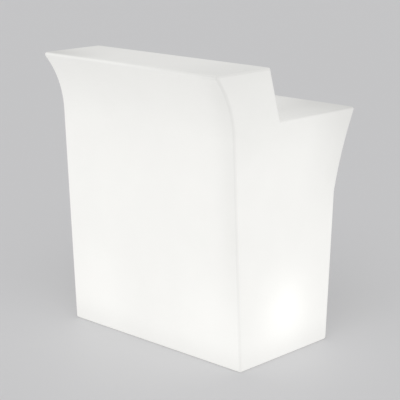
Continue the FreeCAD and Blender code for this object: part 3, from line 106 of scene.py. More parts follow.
class Number:
    """A value in a finish's node tree, so that maths on it reads as plain sums."""

    def __init__(self, finish, socket):
        self.finish = finish
        self.socket = socket

    def maths(self, operation, *others):
        values = dict(enumerate((self, *others)))
        return self.finish.node("Math", {"operation": operation}, values)

    def __add__(self, other):
        return self.maths("ADD", other)

    def __sub__(self, other):
        return self.maths("SUBTRACT", other)

    def __mul__(self, other):
        return self.maths("MULTIPLY", other)

    def __truediv__(self, other):
        return self.maths("DIVIDE", other)

    def __pow__(self, other):
        return self.maths("POWER", other)

    def __rsub__(self, other):
        return (self * -1.0) + other

    def __rtruediv__(self, other):
        return (self**-1.0) * other

    __radd__ = __add__
    __rmul__ = __mul__

    def size(self):
        return self.maths("ABSOLUTE")

    def at_least(self, least):
        return self.maths("MAXIMUM", least)

    def between(self, low, high):
        """0 at low and 1 at high, eased at both ends."""
        values = {"Value": self, "From Min": low, "From Max": high}
        return self.finish.node("MapRange", {"interpolation_type": "SMOOTHSTEP"}, values)


class Finish:
    """A material on one principled shader, with the nodes that drive it."""

    def __init__(self, name, **constants):
        self.material = bpy.data.materials.new(name)
        self.material.use_nodes = True
        self.tree = self.material.node_tree
        self.shader = self.tree.nodes["Principled BSDF"]
        for socket, value in constants.items():
            self.shader.inputs[socket.replace("_", " ")].default_value = value
        self.place = self.node("TexCoord", output="Object")

    def node(self, kind, settings=None, values=None, output=0):
        """Adds a node, sets it, feeds its sockets and gives one of its outputs."""
        made = self.tree.nodes.new("ShaderNode" + kind)
        for name, setting in (settings or {}).items():
            setattr(made, name, setting)
        for name, value in (values or {}).items():
            self.feed(made.inputs[name], value)
        return Number(self, made.outputs[output])

    def feed(self, socket, value):
        if isinstance(value, Number):
            self.tree.links.new(value.socket, socket)
        else:
            socket.default_value = value

    def drive(self, socket, value):
        """Links a value that changes over the surface to one of the shader's sockets."""
        self.feed(self.shader.inputs[socket], value)

    def parts(self, vector):
        """The three parts of a vector."""
        split = self.node("SeparateXYZ", None, {"Vector": vector}).socket.node
        return [Number(self, split.outputs[axis]) for axis in "XYZ"]

    def vectors(self, operation, first, second, output=0):
        return self.node("VectorMath", {"operation": operation}, {0: first, 1: second}, output)

    def noise(self, scale, detail=3.0, roughness=0.55, squeeze=1.0):
        """Soft clouds, squeezed along the upright axis if asked."""
        vector = self.place
        if squeeze != 1.0:
            values = {"Vector": vector, "Scale": (1.0, 1.0, squeeze)}
            vector = self.node("Mapping", None, values)
        values = {"Vector": vector, "Scale": scale, "Detail": detail, "Roughness": roughness}
        return self.node("TexNoise", None, values)

    def cells(self, scale):
        """Rounded cells, 0 at the middle of each."""
        return self.node("TexVoronoi", None, {"Vector": self.place, "Scale": scale})

    def colour_between(self, first, second, factor):
        values = {"Factor": factor, 6: (*first, 1.0), 7: (*second, 1.0)}
        return self.node("Mix", {"data_type": "RGBA"}, values, 2)

    def mottle(self, colour, share, factor):
        """Lets the colour drift from this share of it, at 0, to the whole of it, at 1."""
        self.drive("Base Color", self.colour_between(darker(colour, share), colour, factor))

    def roughen(self, least, *layers):
        """Sets the roughness from a least value and layers of (pattern, strength)."""
        for pattern, strength in layers:
            least = pattern * strength + least
        self.drive("Roughness", least)

    def relief(self, height, depth):
        """Bumps the surface by a height from 0 to 1 that is depth metres tall."""
        bump = self.node("Bump", None, {"Height": height, "Distance": depth, "Strength": 1.0})
        self.drive("Normal", bump)

    def glow(self, colour, strength):
        """Lets the surface shine in a colour, by a strength that changes over it."""
        values = {0: (*colour,), "Scale": strength}
        self.drive("Emission Color", self.node("VectorMath", {"operation": "SCALE"}, values))

    def seen_from_one_side(self):
        """Lets the surface be looked through from behind."""
        back = self.node("NewGeometry", output="Backfacing")
        front = Number(self, self.shader.outputs["BSDF"])
        clear = self.node("BsdfTransparent")
        mixed = self.node("MixShader", None, {0: back, 1: front, 2: clear})
        self.feed(self.tree.nodes["Material Output"].inputs["Surface"], mixed)


def darker(colour, share):
    return tuple(part * share for part in colour)


def moulded(name, colour, roughness=0.45, grain=0.00008, grain_scale=1400.0):
    """Moulded plastic: fine spark texture, slightly uneven colour and gloss."""
    finish = Finish(name, Roughness=roughness, IOR=1.49)
    cloud = finish.noise(22.0, detail=4.0)
    spark = finish.noise(grain_scale, detail=2.0, roughness=0.7)
    finish.mottle(colour, 0.9, cloud.between(0.3, 0.7))
    finish.roughen(roughness - 0.09, (cloud, 0.12), (spark, 0.06))
    finish.relief(spark, grain)
    return finish.material


def rubber(name, colour):
    """Matt rubber: pale bloom in patches and a fine, slightly pitted skin."""
    finish = Finish(name, Roughness=0.8, IOR=1.5)
    bloom = finish.noise(45.0, detail=5.0, roughness=0.6).between(0.35, 0.75)
    pale = tuple(part * 1.8 + 0.015 for part in colour)
    finish.drive("Base Color", finish.colour_between(colour, pale, bloom))
    finish.roughen(0.72, (bloom, 0.14))
    finish.relief(finish.cells(900.0), 0.00006)
    return finish.material


def plated(name, colour, roughness=0.3):
    """Zinc or nickel plating: metal with a faint spangle and drawn lines."""
    finish = Finish(name, Metallic=1.0, Roughness=roughness)
    spots = finish.cells(420.0)
    lines = finish.noise(160.0, squeeze=14.0)
    finish.mottle(colour, 0.75, spots.between(0.1, 0.7))
    finish.roughen(roughness - 0.1, (lines, 0.16), (spots, 0.08))
    finish.relief(lines, 0.00002)
    return finish.material


def turned_brass(name, colour):
    """Brass turned on a lathe: fine rings and slight tarnish."""
    finish = Finish(name, Metallic=1.0, Roughness=0.28)
    tarnish = finish.noise(70.0, detail=4.0).between(0.35, 0.8)
    rings = finish.noise(220.0, detail=2.0, squeeze=30.0)
    finish.drive("Base Color", finish.colour_between(colour, darker(colour, 0.62), tarnish))
    finish.roughen(0.2, (tarnish, 0.18), (rings, 0.1))
    finish.relief(rings, 0.00002)
    return finish.material


def glazed(name, colour):
    """Glazed ceramic: glossy coat over a faintly speckled body."""
    finish = Finish(name, Roughness=0.22, IOR=1.52, Coat_Weight=0.6, Coat_Roughness=0.06)
    finish.mottle(colour, 0.55, finish.cells(1300.0).between(0.02, 0.12))
    finish.relief(finish.noise(120.0, detail=2.0), 0.00005)
    return finish.material


def powder_coat(name, colour):
    """Powder coated sheet: even colour with a fine orange peel."""
    finish = Finish(name, Roughness=0.42, IOR=1.5)
    peel = finish.noise(380.0, detail=2.0, roughness=0.45)
    cloud = finish.noise(9.0)
    finish.mottle(colour, 0.955, cloud.between(0.3, 0.7))
    finish.roughen(0.34, (peel, 0.12), (cloud, 0.06))
    finish.relief(peel, 0.00018)
    return finish.material


def sheathing(name, colour):
    """Soft cable sheath: satin, with a slightly uneven colour and skin."""
    finish = Finish(name, Roughness=0.5, IOR=1.5)
    skin = finish.noise(900.0, detail=2.0)
    finish.mottle(colour, 0.9, finish.noise(30.0))
    finish.roughen(0.42, (skin, 0.15))
    finish.relief(skin, 0.00005)
    return finish.material


def foam(name, colour):
    """Closed cell foam: dull, with open pores."""
    finish = Finish(name, Roughness=0.92, IOR=1.4)
    pores = finish.cells(700.0)
    # Painted shade: the middles of the pores, which the bump sinks, are darker
    finish.mottle(colour, 0.5, pores.between(0.1, 0.5))
    finish.relief(pores, 0.0003)
    return finish.material


def opal_glass(name, colour, light):
    """Opal globe of a lit bulb: bright all over, a little dimmer towards its neck."""
    finish = Finish(name, Roughness=0.25, IOR=1.5, Emission_Strength=1.0)
    top = finish.parts(finish.place)[2].between(0.15, 0.19)
    cloud = finish.noise(40.0, detail=2.0)
    finish.mottle(colour, 0.95, cloud)
    finish.glow(light, top * 0.3 + cloud * 0.08 + 0.7)
    return finish.material


def lamp_light(finish, look, facing):
    """Light straight from the two lamps, by their distance and by how squarely it falls."""
    straight = 0.0
    for side in (-1.0, 1.0):
        lamp = (side * look.lamp_reach, look.lamp_depth, look.lamp_height)
        ray = finish.vectors("SUBTRACT", finish.place, lamp)
        square = finish.vectors("DOT_PRODUCT", ray, ray, "Value")
        faced = finish.vectors("DOT_PRODUCT", ray, facing, "Value")
        straight = faced.at_least(0.0) / (square + look.lamp_softness**2) ** 2.0 + straight
    return straight * look.lamp_glow


def tops_loss(look, place, level):
    """Light lost on the worktop and the ledge, which are level, and along the ledge's rim."""
    across, along, up = place
    upper = up.between(*LEDGE_UP)
    worktop = across.size().between(*WORKTOP_ENDS_ACROSS) * look.worktop_end_loss
    worktop = along * look.worktop_slope + worktop + look.worktop_loss
    corner = across.between(*LEDGE_CORNER_ACROSS) * along.between(*LEDGE_CORNER_ALONG)
    ledge = across.size().between(*LEDGE_ENDS_ACROSS) * look.ledge_end_loss
    ledge = ledge + corner * look.ledge_corner_loss + look.ledge_loss
    flat = level ** (upper * (LEDGE_FADE - WORKTOP_FADE) + WORKTOP_FADE) * up.between(*TOPS_UP)
    rim = level * (1.0 - level) * upper * across.between(*RIM_ACROSS) * look.rim_loss
    return flat * (worktop * (1.0 - upper) + ledge * upper) + rim


def lit_shell(look):
    """The moulded shell: satin, faintly uneven plastic that the two lamps shine through."""
    finish = Finish("lit_shell_plastic", Roughness=look.roughness, IOR=1.5, Emission_Strength=1.0)
    facing = finish.node("TexCoord", output="Normal")
    place = across, along, up = finish.parts(finish.place)
    facing_across, facing_along, facing_up = finish.parts(facing)
    height = up * up * look.swell - up * look.low_loss - up**3.0 * look.height_loss
    undersides = (facing_up * -1.0).at_least(0.0) * look.underside_gain
    tops = tops_loss(look, place, facing_up.at_least(0.0))
    # Painted shade: the glow is made darker along the rounded upright corners
    corners = (facing_across * facing_along).size() * look.corner_shade
    tips = along.between(*TIP_ALONG) * up.between(*TIP_UP) * look.tip_loss
    ends = facing_across.size() * (tips + up.between(*ENDS_UP) * look.end_loss)
    foot = up.between(*FOOT_UP) * look.foot_loss
    # Painted shade: the glow is made darker in a band on the front, beside the right end's corner
    shaded = across.between(*SHADED_BAND_ACROSS) * up.between(*SHADED_BAND_UP)
    shaded = shaded * facing_along.between(*SHADED_BAND_FACING) * look.shaded_band_loss
    niche = across.size().between(*NICHE_ACROSS) * along.between(*NICHE_ALONG)
    niche = niche * up.between(*NICHE_FLOOR_UP) * up.between(*NICHE_ROOF_UP)
    light = lamp_light(finish, look, facing) + look.even_glow + height + undersides
    light = light - tops - corners - ends - foot - shaded
    wall = finish.noise(3.2, roughness=0.5) * 0.6
    wall = wall + finish.noise(11.0, detail=2.0, roughness=0.5) * 0.4
    through = light * ((wall - 0.5) * look.cloudiness + 1.0) * (1.0 - niche * look.niche_loss)
    skin = finish.noise(260.0, detail=2.0, roughness=0.5)
    finish.glow(look.light_colour, through.at_least(0.0))
    finish.mottle(look.plastic, 0.97, wall.between(0.35, 0.65))
    finish.roughen(look.roughness - 0.08, (wall, 0.1), (skin, 0.06))
    finish.relief(skin, look.peel)
    return finish.material


# Shaping


def pick(*pieces):
    """Selects only these pieces and makes the first one active."""
    bpy.ops.object.select_all(action="DESELECT")
    for piece in pieces:
        piece.select_set(True)
    bpy.context.view_layer.objects.active = pieces[0]


def edit(piece, kind="VERT", action="SELECT"):
    """Goes into edit mode on a piece, with all of its points, edges or faces selected, or none."""
    pick(piece)
    bpy.ops.object.mode_set(mode="EDIT")
    bpy.ops.mesh.select_mode(type=kind)
    bpy.ops.mesh.select_all(action=action)


def leave():
    """Goes back to object mode."""
    bpy.ops.object.mode_set(mode="OBJECT")


def edit_where(piece, kind, wanted):
    """Goes into edit mode with only those points, edges or faces selected that pass a test."""
    edit(piece, kind, "DESELECT")
    mesh = bmesh.from_edit_mesh(piece.data)
    for part in {"VERT": mesh.verts, "EDGE": mesh.edges, "FACE": mesh.faces}[kind]:
        if wanted(part):
            part.select_set(True)
    bmesh.update_edit_mesh(piece.data)


def modified(piece, kind, **settings):
    """Gives a piece a modifier with these settings and applies it."""
    pick(piece)
    bpy.ops.object.modifier_add(type=kind)
    modifier = piece.modifiers[-1]
    for name, value in settings.items():
        setattr(modifier, name, value)
    bpy.ops.object.modifier_apply(modifier=modifier.name)
    return piece


def added(name):
    """The object that was just added, under a name."""
    piece = bpy.context.object
    piece.name = name
    return piece


def settle(piece):
    """Moves a piece's place, turn and size into its mesh."""
    pick(piece)
    bpy.ops.object.transform_apply(location=True, rotation=True, scale=True)
    return piece


def turned(piece, angle):
    """Turns a piece about the X axis by an angle in degrees."""
    piece.rotation_euler.x = math.radians(angle)
    return settle(piece)


def moved(piece, place):
    """Moves a piece by millimetres."""
    piece.location = [part * MM for part in place]
    return settle(piece)


def lathe(name, outline, steps=48):
    """A round piece on the upright axis, spun from its half outline of (radius, height)."""
    bpy.ops.object.select_all(action="DESELECT")
    bpy.ops.mesh.primitive_plane_add(size=MM)
    piece = added(name)
    edit(piece)
    bpy.ops.mesh.merge(type="CENTER")
    radius, height = outline[0]
    bpy.ops.transform.translate(value=(radius * MM, 0.0, height * MM))
    for wide, high in outline[1:]:
        step = ((wide - radius) * MM, 0.0, (high - height) * MM)
        bpy.ops.mesh.extrude_region_move(TRANSFORM_OT_translate={"value": step})
        radius, height = wide, high
    leave()
    modified(piece, "SCREW", steps=steps, render_steps=steps, use_smooth_shade=False)
    edit(piece)
    bpy.ops.mesh.remove_doubles(threshold=SEAM)
    bpy.ops.mesh.normals_make_consistent(inside=False)
    leave()
    return piece


def bar(name, low, high):
    """A square-edged bar between two corners."""
    bpy.ops.object.select_all(action="DESELECT")
    middle = [(near + far) / 2 * MM for near, far in zip(low, high)]
    bpy.ops.mesh.primitive_cube_add(size=1.0, location=middle)
    piece = added(name)
    bpy.ops.transform.resize(value=[(far - near) * MM for near, far in zip(low, high)])
    return settle(piece)


def fluted(piece, steps, low, high, depth, outside=0.0):
    """Sinks every other strip of a lathed piece's side between two heights, outside a radius."""

    def strip(face):
        middle, normal = face.calc_center_median(), face.normal
        if middle.xy.length <= outside * MM or not low * MM < middle.z < high * MM:
            return False
        upright_and_outward = abs(normal.z) < 0.75 and normal.xy.dot(middle.xy) > 0.0
        turn = math.atan2(middle.y, middle.x) / math.tau * steps
        return upright_and_outward and math.floor(turn) % 2 == 0

    edit_where(piece, "FACE", strip)
    bpy.ops.mesh.inset(thickness=depth / 3 * MM, use_individual=True)
    bpy.ops.transform.shrink_fatten(value=-depth * MM)
    leave()
    return piece


def soften(piece, width, segments=2, angle=30.0):
    """Rounds a piece's sharp edges by a width."""
    settings = {"width": width * MM, "segments": segments, "angle_limit": math.radians(angle)}
    return modified(piece, "BEVEL", limit_method="ANGLE", **settings)


def combine(piece, other, operation="DIFFERENCE"):
    """Cuts a piece with another, or joins or intersects the two, and uses the other one up."""
    modified(piece, "BOOLEAN", operation=operation, solver="EXACT", object=other)
    pick(other)
    bpy.ops.object.delete()
    return piece


def gather(*pieces):
    """Makes several pieces one object."""
    pick(*pieces)
    bpy.ops.object.join()
    return bpy.context.object


def copied(piece, places, turns=None):
    """Copies of a piece, one at each place, turned about the upright axis if asked."""
    made = []
    for number, place in enumerate(places):
        pick(piece)
        bpy.ops.object.duplicate(linked=False)
        copy = bpy.context.object
        copy.rotation_euler.z = math.radians(turns[number]) if turns else 0.0
        made.append(moved(copy, place))
    pick(piece)
    bpy.ops.object.delete()
    return made


def repeat(piece, places, turns=None):
    """The same copies as one object."""
    return gather(*copied(piece, places, turns))


def ring_of(count, radius, start=0.0):
    """Places round a circle, and the turn that faces each outwards."""
    angles = [start + 360.0 / count * number for number in range(count)]
    turns = [math.radians(angle) for angle in angles]
    return [(radius * math.cos(turn), radius * math.sin(turn), 0.0) for turn in turns], angles


def thread(radius, pitch, start, end):
    """Outline points of a thread's ridges between two heights."""
    count = max(1, round((end - start) / pitch))
    step = (end - start) / count
    root = radius - pitch * THREAD_DEPTH
    points = [(root, start)]
    for number in range(count):
        points.append((radius, start + (number + 0.5) * step))
        points.append((root, start + (number + 1.0) * step))
    return points


def cross(reach, width, depth):
    """A tapered cross like a screwdriver's tip, from just above the origin down to a depth."""
    arms = []
    for along, aside in ((reach, width / 2), (width / 2, reach)):
        arm = bar("cross_arm", (-along, -aside, -depth), (along, aside, 1.0))
        edit_where(arm, "FACE", lambda face: face.normal.z < -0.9)
        bpy.ops.transform.resize(value=(0.5, 0.5, 1.0))
        leave()
        arms.append(arm)
    return combine(*arms, "UNION")


def pan_screw(radius, length, head, height):
    """A pan head screw whose head stands up from the origin."""
    outline = [(0.0, -length), (radius * 0.6, -length)]
    outline += [*thread(radius, radius * 0.4, 0.8 - length, -0.6), (radius, -0.4), (radius, 0.0)]
    outline += [(head, 0.0), (head, height * 0.4), (head * 0.93, height * 0.7)]
    outline += [(head * 0.74, height * 0.92), (head * 0.5, height), (0.0, height)]
    tip = moved(cross(head * 0.5, head * 0.2, height * 0.6), (0.0, 0.0, height))
    return combine(lathe("pan_screw", outline, 28), tip)


def hexed(name, radius, height):
    """A hexagonal collar with chamfered corners that stands on the origin."""
    thirty = math.radians(30.0)
    middle, turn = (0.0, 0.0, height / 2 * MM), (0.0, 0.0, thirty)
    bpy.ops.object.select_all(action="DESELECT")
    bpy.ops.mesh.primitive_cylinder_add(
        vertices=6, radius=radius * MM, depth=height * MM, location=middle, rotation=turn
    )
    piece = settle(added(name))
    flat = radius * math.cos(thirty) * 0.97  # the chamfers start just inside the flats
    slope = (radius - flat) * math.tan(thirty)
    clear = radius * 1.002  # and end just outside the corners
    outline = [(0.0, 0.0), (flat, 0.0), (clear, slope), (clear, height - slope)]
    outline += [(flat, height), (0.0, height)]
    return combine(piece, lathe(f"{name}_chamfers", outline, 64), "INTERSECT")


def hole(radius, low, high):
    """A round cutter with a small lead-in at both ends."""
    lead = radius * 0.12
    wide, below, above = radius + lead, low - 1.0, high + 1.0
    outline = [(0.0, below), (wide, below), (wide, low), (radius, low + lead)]
    outline += [(radius, high - lead), (wide, high), (wide, above), (0.0, above)]
    return lathe("hole_cutter", outline, 40)


def softened(node, width):
    """A copy of a carried-over part with its sharp edges rounded by a width."""
    piece = bpy.data.objects.new(f"{node}_fine", NODES[node].data.copy())
    bpy.context.collection.objects.link(piece)
    pick(piece)
    bpy.ops.mesh.customdata_custom_splitnormals_clear()
    edit(piece)
    bpy.ops.mesh.remove_doubles(threshold=WELD)
    bpy.ops.mesh.dissolve_limited(angle_limit=FLAT_ANGLE)
    leave()
    return soften(piece, width)


def paint(piece, material):
    piece.data.materials.clear()
    piece.data.materials.append(material)


def fit(piece, material, node):
    """Gives a finished piece its finish and its body, in the place of the part it stands for."""
    settle(piece)
    edit(piece)
    bpy.ops.mesh.remove_doubles(threshold=WELD)
    bpy.ops.mesh.dissolve_degenerate(threshold=WELD)
    bpy.ops.mesh.select_all(action="SELECT")
    bpy.ops.mesh.normals_make_consistent(inside=False)
    leave()
    bpy.ops.object.shade_smooth_by_angle(angle=SMOOTH_ANGLE)
    piece.name = piece.data.name = f"fine_{node}"
    paint(piece, material)
    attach(piece, BODIES[node])
    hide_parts(node)


def coat(material, *nodes):
    """Gives parts that keep the shape they come with their finish."""
    for node in nodes:
        paint(NODES[node], material)


def round_off(material, width, *nodes):
    """Gives parts softened edges and their finish."""
    for node in nodes:
        fit(softened(node, width), material, node)


def fit_copies(piece, material, nodes, places):
    """Gives each of some parts a copy of a piece, at each of some places."""
    for node, copy in zip(nodes, copied(piece, places)):
        fit(copy, material, node)


def each(places, part):
    """The names of one kind of part at each of some places on the counter."""
    return [f"{place}_{part}" for place in places]


def box_of(node):
    """The two corners of a carried-over part's box."""
    return [[part / MM for part in corner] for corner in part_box(node)]


def centre(node):
    """The middle of a carried-over part's box."""
    return [(near + far) / 2 / MM for near, far in zip(*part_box(node))]


def plan(node, level=0.0):
    """The middle of a carried-over part's box in plan, at a height."""
    return (*centre(node)[:2], level)


def pan_screws(node, material, radius, length, head, height, axis=2):
    """Pan head screws in the four corners of their box, facing along Z (axis 2) or Y (axis 1)."""
    low, high = box_of(node)
    spans = [(near + head, far - head) for near, far in zip(low, high)]
    spans[axis] = (high[axis] - height,)
    screw = pan_screw(radius, length, head, height)
    if axis == 1:
        turned(screw, -90.0)
    places = [(x, y, z) for x in spans[0] for y in spans[1] for z in spans[2]]
    fit(repeat(screw, places), material, node)


# Settings


def triple(name, description, subtype, default):
    return FloatVectorProperty(
        name=name, description=description, subtype=subtype, default=default, precision=4
    )


def tint(name, description, default):
    return triple(name, description, "COLOR", default)


def decimal(name, description, default, **settings):
    return FloatProperty(
        name=name, description=description, default=default, precision=5, **settings
    )


def metres(name, description, default):
    return decimal(name, description, default, subtype="DISTANCE")


def degrees(name, description, default):
    return decimal(name, description, math.radians(default), subtype="ANGLE")


def fraction(name, description, default):
    return decimal(name, description, default, subtype="FACTOR", min=0.0, max=1.0)


def amount(name, description, default):
    return decimal(name, description, default, min=0.0)


def whole(name, description, default, least):
    return IntProperty(name=name, description=description, default=default, min=least)


class ShellLook(PropertyGroup):
    """The moulded shell and the light that comes through it."""

    plastic: tint("Plastic", "Colour of the unlit plastic", (0.5, 0.498, 0.484))
    light_colour: tint("Light", "Colour of the light coming out", (1.0, 0.996, 0.972))
    even_glow: amount("Even glow", "Light that reaches the whole wall", 0.5178)
    lamp_glow: amount("Lamp glow", "Light straight from the lamps", 0.00106)
    low_loss: amount("Low loss", "Loss of light with height, low down", 0.0834)
    swell: amount("Swell", "Gain of light with height, half way up", 0.3115)
    height_loss: amount("Height loss", "Loss of light with height, high up", 0.2763)
    worktop_loss: amount("Worktop loss", "Loss on the worktop", 0.119)
    worktop_slope: amount("Worktop slope", "Further loss towards the worktop's back", 0.3726)
    worktop_end_loss: amount("Worktop end loss", "Further loss at the worktop's ends", 0.0746)
    ledge_loss: amount("Ledge loss", "Loss on the ledge", 0.1545)
    ledge_end_loss: amount("Ledge end loss", "Further loss at the ledge's ends", 0.0336)
    ledge_corner_loss: amount(
        "Ledge corner loss", "Further loss at the ledge's left front corner", 0.1138
    )
    rim_loss: amount("Rim loss", "Loss along the right half of the ledge's rim", 0.35)
    underside_gain: amount("Underside gain", "Gain on undersides", 0.04)
    # Painted shade: darkens the glow along the rounded upright corners
    corner_shade: amount("Corner loss", "Loss along the thick upright corners", 0.16)
    tip_loss: amount("Tip loss", "Loss on the ends towards the thin overhang", 0.1116)
    end_loss: amount("End loss", "Loss on the ends, high up", 0.0245)
    foot_loss: amount("Foot loss", "Loss along the bottom edge", 0.05)
    # Painted shade: darkens the glow in a band on the front beside the right end's corner
    shaded_band_loss: amount(
        "Gathered loss", "Loss in the plastic gathered beside a front corner", 0.05
    )
    niche_loss: fraction("Niche loss", "Share that the niche's walls lose", 0.3)
    lamp_reach: metres("Lamp reach", "Each lamp's distance from the middle", 0.3)
    lamp_depth: metres("Lamp depth", "Place of the lamps from front to back", -0.00569)
    lamp_height: metres("Lamp height", "Height of the lamps above the floor", 0.185)
    lamp_softness: metres("Lamp softness", "How far the wall spreads the light", 0.1)
    cloudiness: amount("Cloudiness", "Unevenness of the wall", 0.03)
    roughness: fraction("Roughness", "Roughness of the plastic", 0.42)
    peel: metres("Peel", "Height of the fine moulded skin", 0.00012)


class ShelfLook(PropertyGroup):
    """The folded storage shelf."""

    colour: tint("Coating", "Colour of the powder coat", (0.78, 0.78, 0.765))
    sheet: metres("Sheet", "Thickness of the sheet", 0.002)
    rest: metres("Rest", "Width at each end that lies on the ledge", 0.02)
    relief: metres("Relief", "Gap beside the lip's fold", 0.002)
    corner: metres("Corner", "Radius of the back corners", 0.0185)
    bend: metres("Bend", "Radius of the folds", 0.003)
    hem: metres("Hem", "Depth of the lip's turned-in hem", 0.012)


class PortLook(PropertyGroup):
    """The covers of the service ports under the base."""

    colour: tint("Plastic", "Colour of the covers", (0.7, 0.7, 0.68))
    ribs: whole("Ribs", "Ribs across each cover", 12, 3)
    screws: whole("Screws", "Screws round each cover", 6, 3)


class FootLook(PropertyGroup):
    """The levelling feet."""

    rubber: tint("Rubber", "Colour of the pads", (0.035, 0.035, 0.036))
    flutes: whole("Flutes", "Grip flutes round each pad", 30, 6)
    flute_depth: metres("Flute depth", "Depth of the flutes", 0.0008)
    pitch: metres("Pitch", "Pitch of the studs' thread", 0.0015)


class PanelLook(PropertyGroup):
    """The power panel with its inlet and switch."""

    plate: tint("Plate", "Colour of the plate and housings", (0.04, 0.04, 0.043))
    flap: tint("Flap", "Colour of the splash flap", (0.09, 0.09, 0.1))
    rocker: tint("Rocker", "Colour of the rocker", (0.03, 0.03, 0.033))
    edge: metres("Edge", "Rounding of the mouldings' edges", 0.0005)
    ribs: whole("Ribs", "Grip ribs on the flap", 5, 1)


class MetalLook(PropertyGroup):
    """Metals and plastics that several groups of parts share."""

    steel: tint("Steel", "Colour of the zinc plating", (0.62, 0.62, 0.6))
    brass: tint("Brass", "Colour of the brass", (0.78, 0.58, 0.26))
    foam: tint("Foam", "Colour of the gaskets", (0.05, 0.05, 0.05))
    sheath: tint("Sheath", "Colour of the leads", (0.72, 0.72, 0.7))


class StageLook(PropertyGroup):
    """The floor, the studio light and the camera."""

    floor_colour: tint("Floor", "Colour of the floor", (0.62, 0.62, 0.63))
    floor_radius: metres("Floor radius", "Radius of the floor", 40.0)
    floor_drop: metres("Floor drop", "Gap between the feet and the floor", 0.0003)
    sky_level: amount("Sky level", "Light from all round", 0.62)
    key_level: amount("Key level", "Light from the soft main lamp", 1.1)
    key_spread: degrees("Key spread", "How wide the main lamp looks", 60.0)
    key_side: triple(
        "Key side", "Direction that the main lamp shines from", "DIRECTION", (0.5, -0.56, 0.9)
    )
    camera_place: triple("Camera", "Place of the camera", "XYZ", (3.3662, -3.5321, 1.7455))
    camera_tilt: degrees("Tilt", "Camera's angle from straight down", 75.965)
    camera_turn: degrees("Turn", "Camera's turn about the upright", 43.585)
    camera_lens: amount("Lens", "Focal length in millimetres", 116.27)


class CounterSettings(PropertyGroup):
    """Everything that can be changed before the parts are made."""

    shell: PointerProperty(type=ShellLook)
    shelf: PointerProperty(type=ShelfLook)
    ports: PointerProperty(type=PortLook)
    feet: PointerProperty(type=FootLook)
    panel: PointerProperty(type=PanelLook)
    metals: PointerProperty(type=MetalLook)
    stage: PointerProperty(type=StageLook)


# Parts


class COUNTER_OT_shell(Operator):
    """Finishes the moulded shell and lights it from inside"""

    bl_idname = "counter.shell"
    bl_label = "Lit shell"

    def execute(self, context):
        coat(lit_shell(context.scene.bar_counter.shell), "shell")
        return {"FINISHED"}


class COUNTER_OT_shelf(Operator):
    """Folds the storage shelf from sheet, with a hemmed lip along its front"""

    bl_idname = "counter.shelf"
    bl_label = "Storage shelf"

    def execute(self, context):
        look = context.scene.bar_counter.shelf
        low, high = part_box("storage_shelf")
        sheet = self.cut_sheet(low, high, look)
        self.fold_lip(sheet, low, high, look)

        def back_corner(point):
            x, y, _ = point.co
            return abs(y - low.y) < NEAR and abs(abs(x) - abs(low.x)) < NEAR

        edit_where(sheet, "VERT", back_corner)
        bpy.ops.mesh.bevel(offset=look.corner, segments=10, affect="VERTICES")
        leave()
        modified(sheet, "SOLIDIFY", thickness=look.sheet, offset=0.0, use_even_offset=True)
        soften(sheet, 0.3)
        fit(sheet, powder_coat("white_powder_coat", look.colour), "storage_shelf")
        return {"FINISHED"}

    def cut_sheet(self, low, high, look):
        """The flat sheet, in metres, in the middle of the shelf's thickness, cut for the lip."""
        fold, tongue = high.y - look.sheet / 2 - look.bend, high.x - look.rest
        middle = ((low.x + high.x) / 2, (low.y + high.y) / 2, high.z - look.sheet / 2)
        bpy.ops.object.select_all(action="DESELECT")
        bpy.ops.mesh.primitive_plane_add(size=1.0, location=middle)
        sheet = added("folded_shelf")
        bpy.ops.transform.resize(value=(high.x - low.x, high.y - low.y, 1.0))
        settle(sheet)
        edit(sheet)
        for across in (-tongue - look.relief, -tongue, tongue, tongue + look.relief):
            bpy.ops.mesh.bisect(plane_co=(across, 0.0, 0.0), plane_no=(1.0, 0.0, 0.0))
            bpy.ops.mesh.select_all(action="SELECT")
        bpy.ops.mesh.bisect(plane_co=(0.0, fold, 0.0), plane_no=(0.0, 1.0, 0.0))
        leave()

        def waste(face):
            middle = face.calc_center_median()
            return middle.y > fold and abs(middle.x) < tongue + look.relief

        edit_where(sheet, "FACE", waste)
        bpy.ops.mesh.delete(type="FACE")
        leave()
        return sheet

    def fold_lip(self, sheet, low, high, look):
        """Folds the lip down from the sheet's front edge and its hem back under, in metres."""
        half = look.sheet / 2
        top, fold, tongue = high.z - half, high.y - half - look.bend, high.x - look.rest

        def front(edge):
            return all(
                abs(point.co.y - fold) < NEAR and abs(point.co.x) < tongue + NEAR
                for point in edge.verts
            )

        edit_where(sheet, "EDGE", front)
        quarter = {"steps": 6, "angle": math.radians(90.0), "axis": (1.0, 0.0, 0.0)}
        drop = top - low.z - half - 2 * look.bend
        bpy.ops.mesh.spin(center=(0.0, fold, top - look.bend), **quarter)
        bpy.ops.mesh.extrude_region_move(TRANSFORM_OT_translate={"value": (0.0, 0.0, -drop)})
        bpy.ops.mesh.spin(center=(0.0, fold, low.z + half + look.bend), **quarter)
        bpy.ops.mesh.extrude_region_move(TRANSFORM_OT_translate={"value": (0.0, -look.hem, 0.0)})
        bpy.ops.mesh.select_mode(type="VERT")
        bpy.ops.mesh.select_all(action="SELECT")
        bpy.ops.mesh.remove_doubles(threshold=NEAR)
        leave()


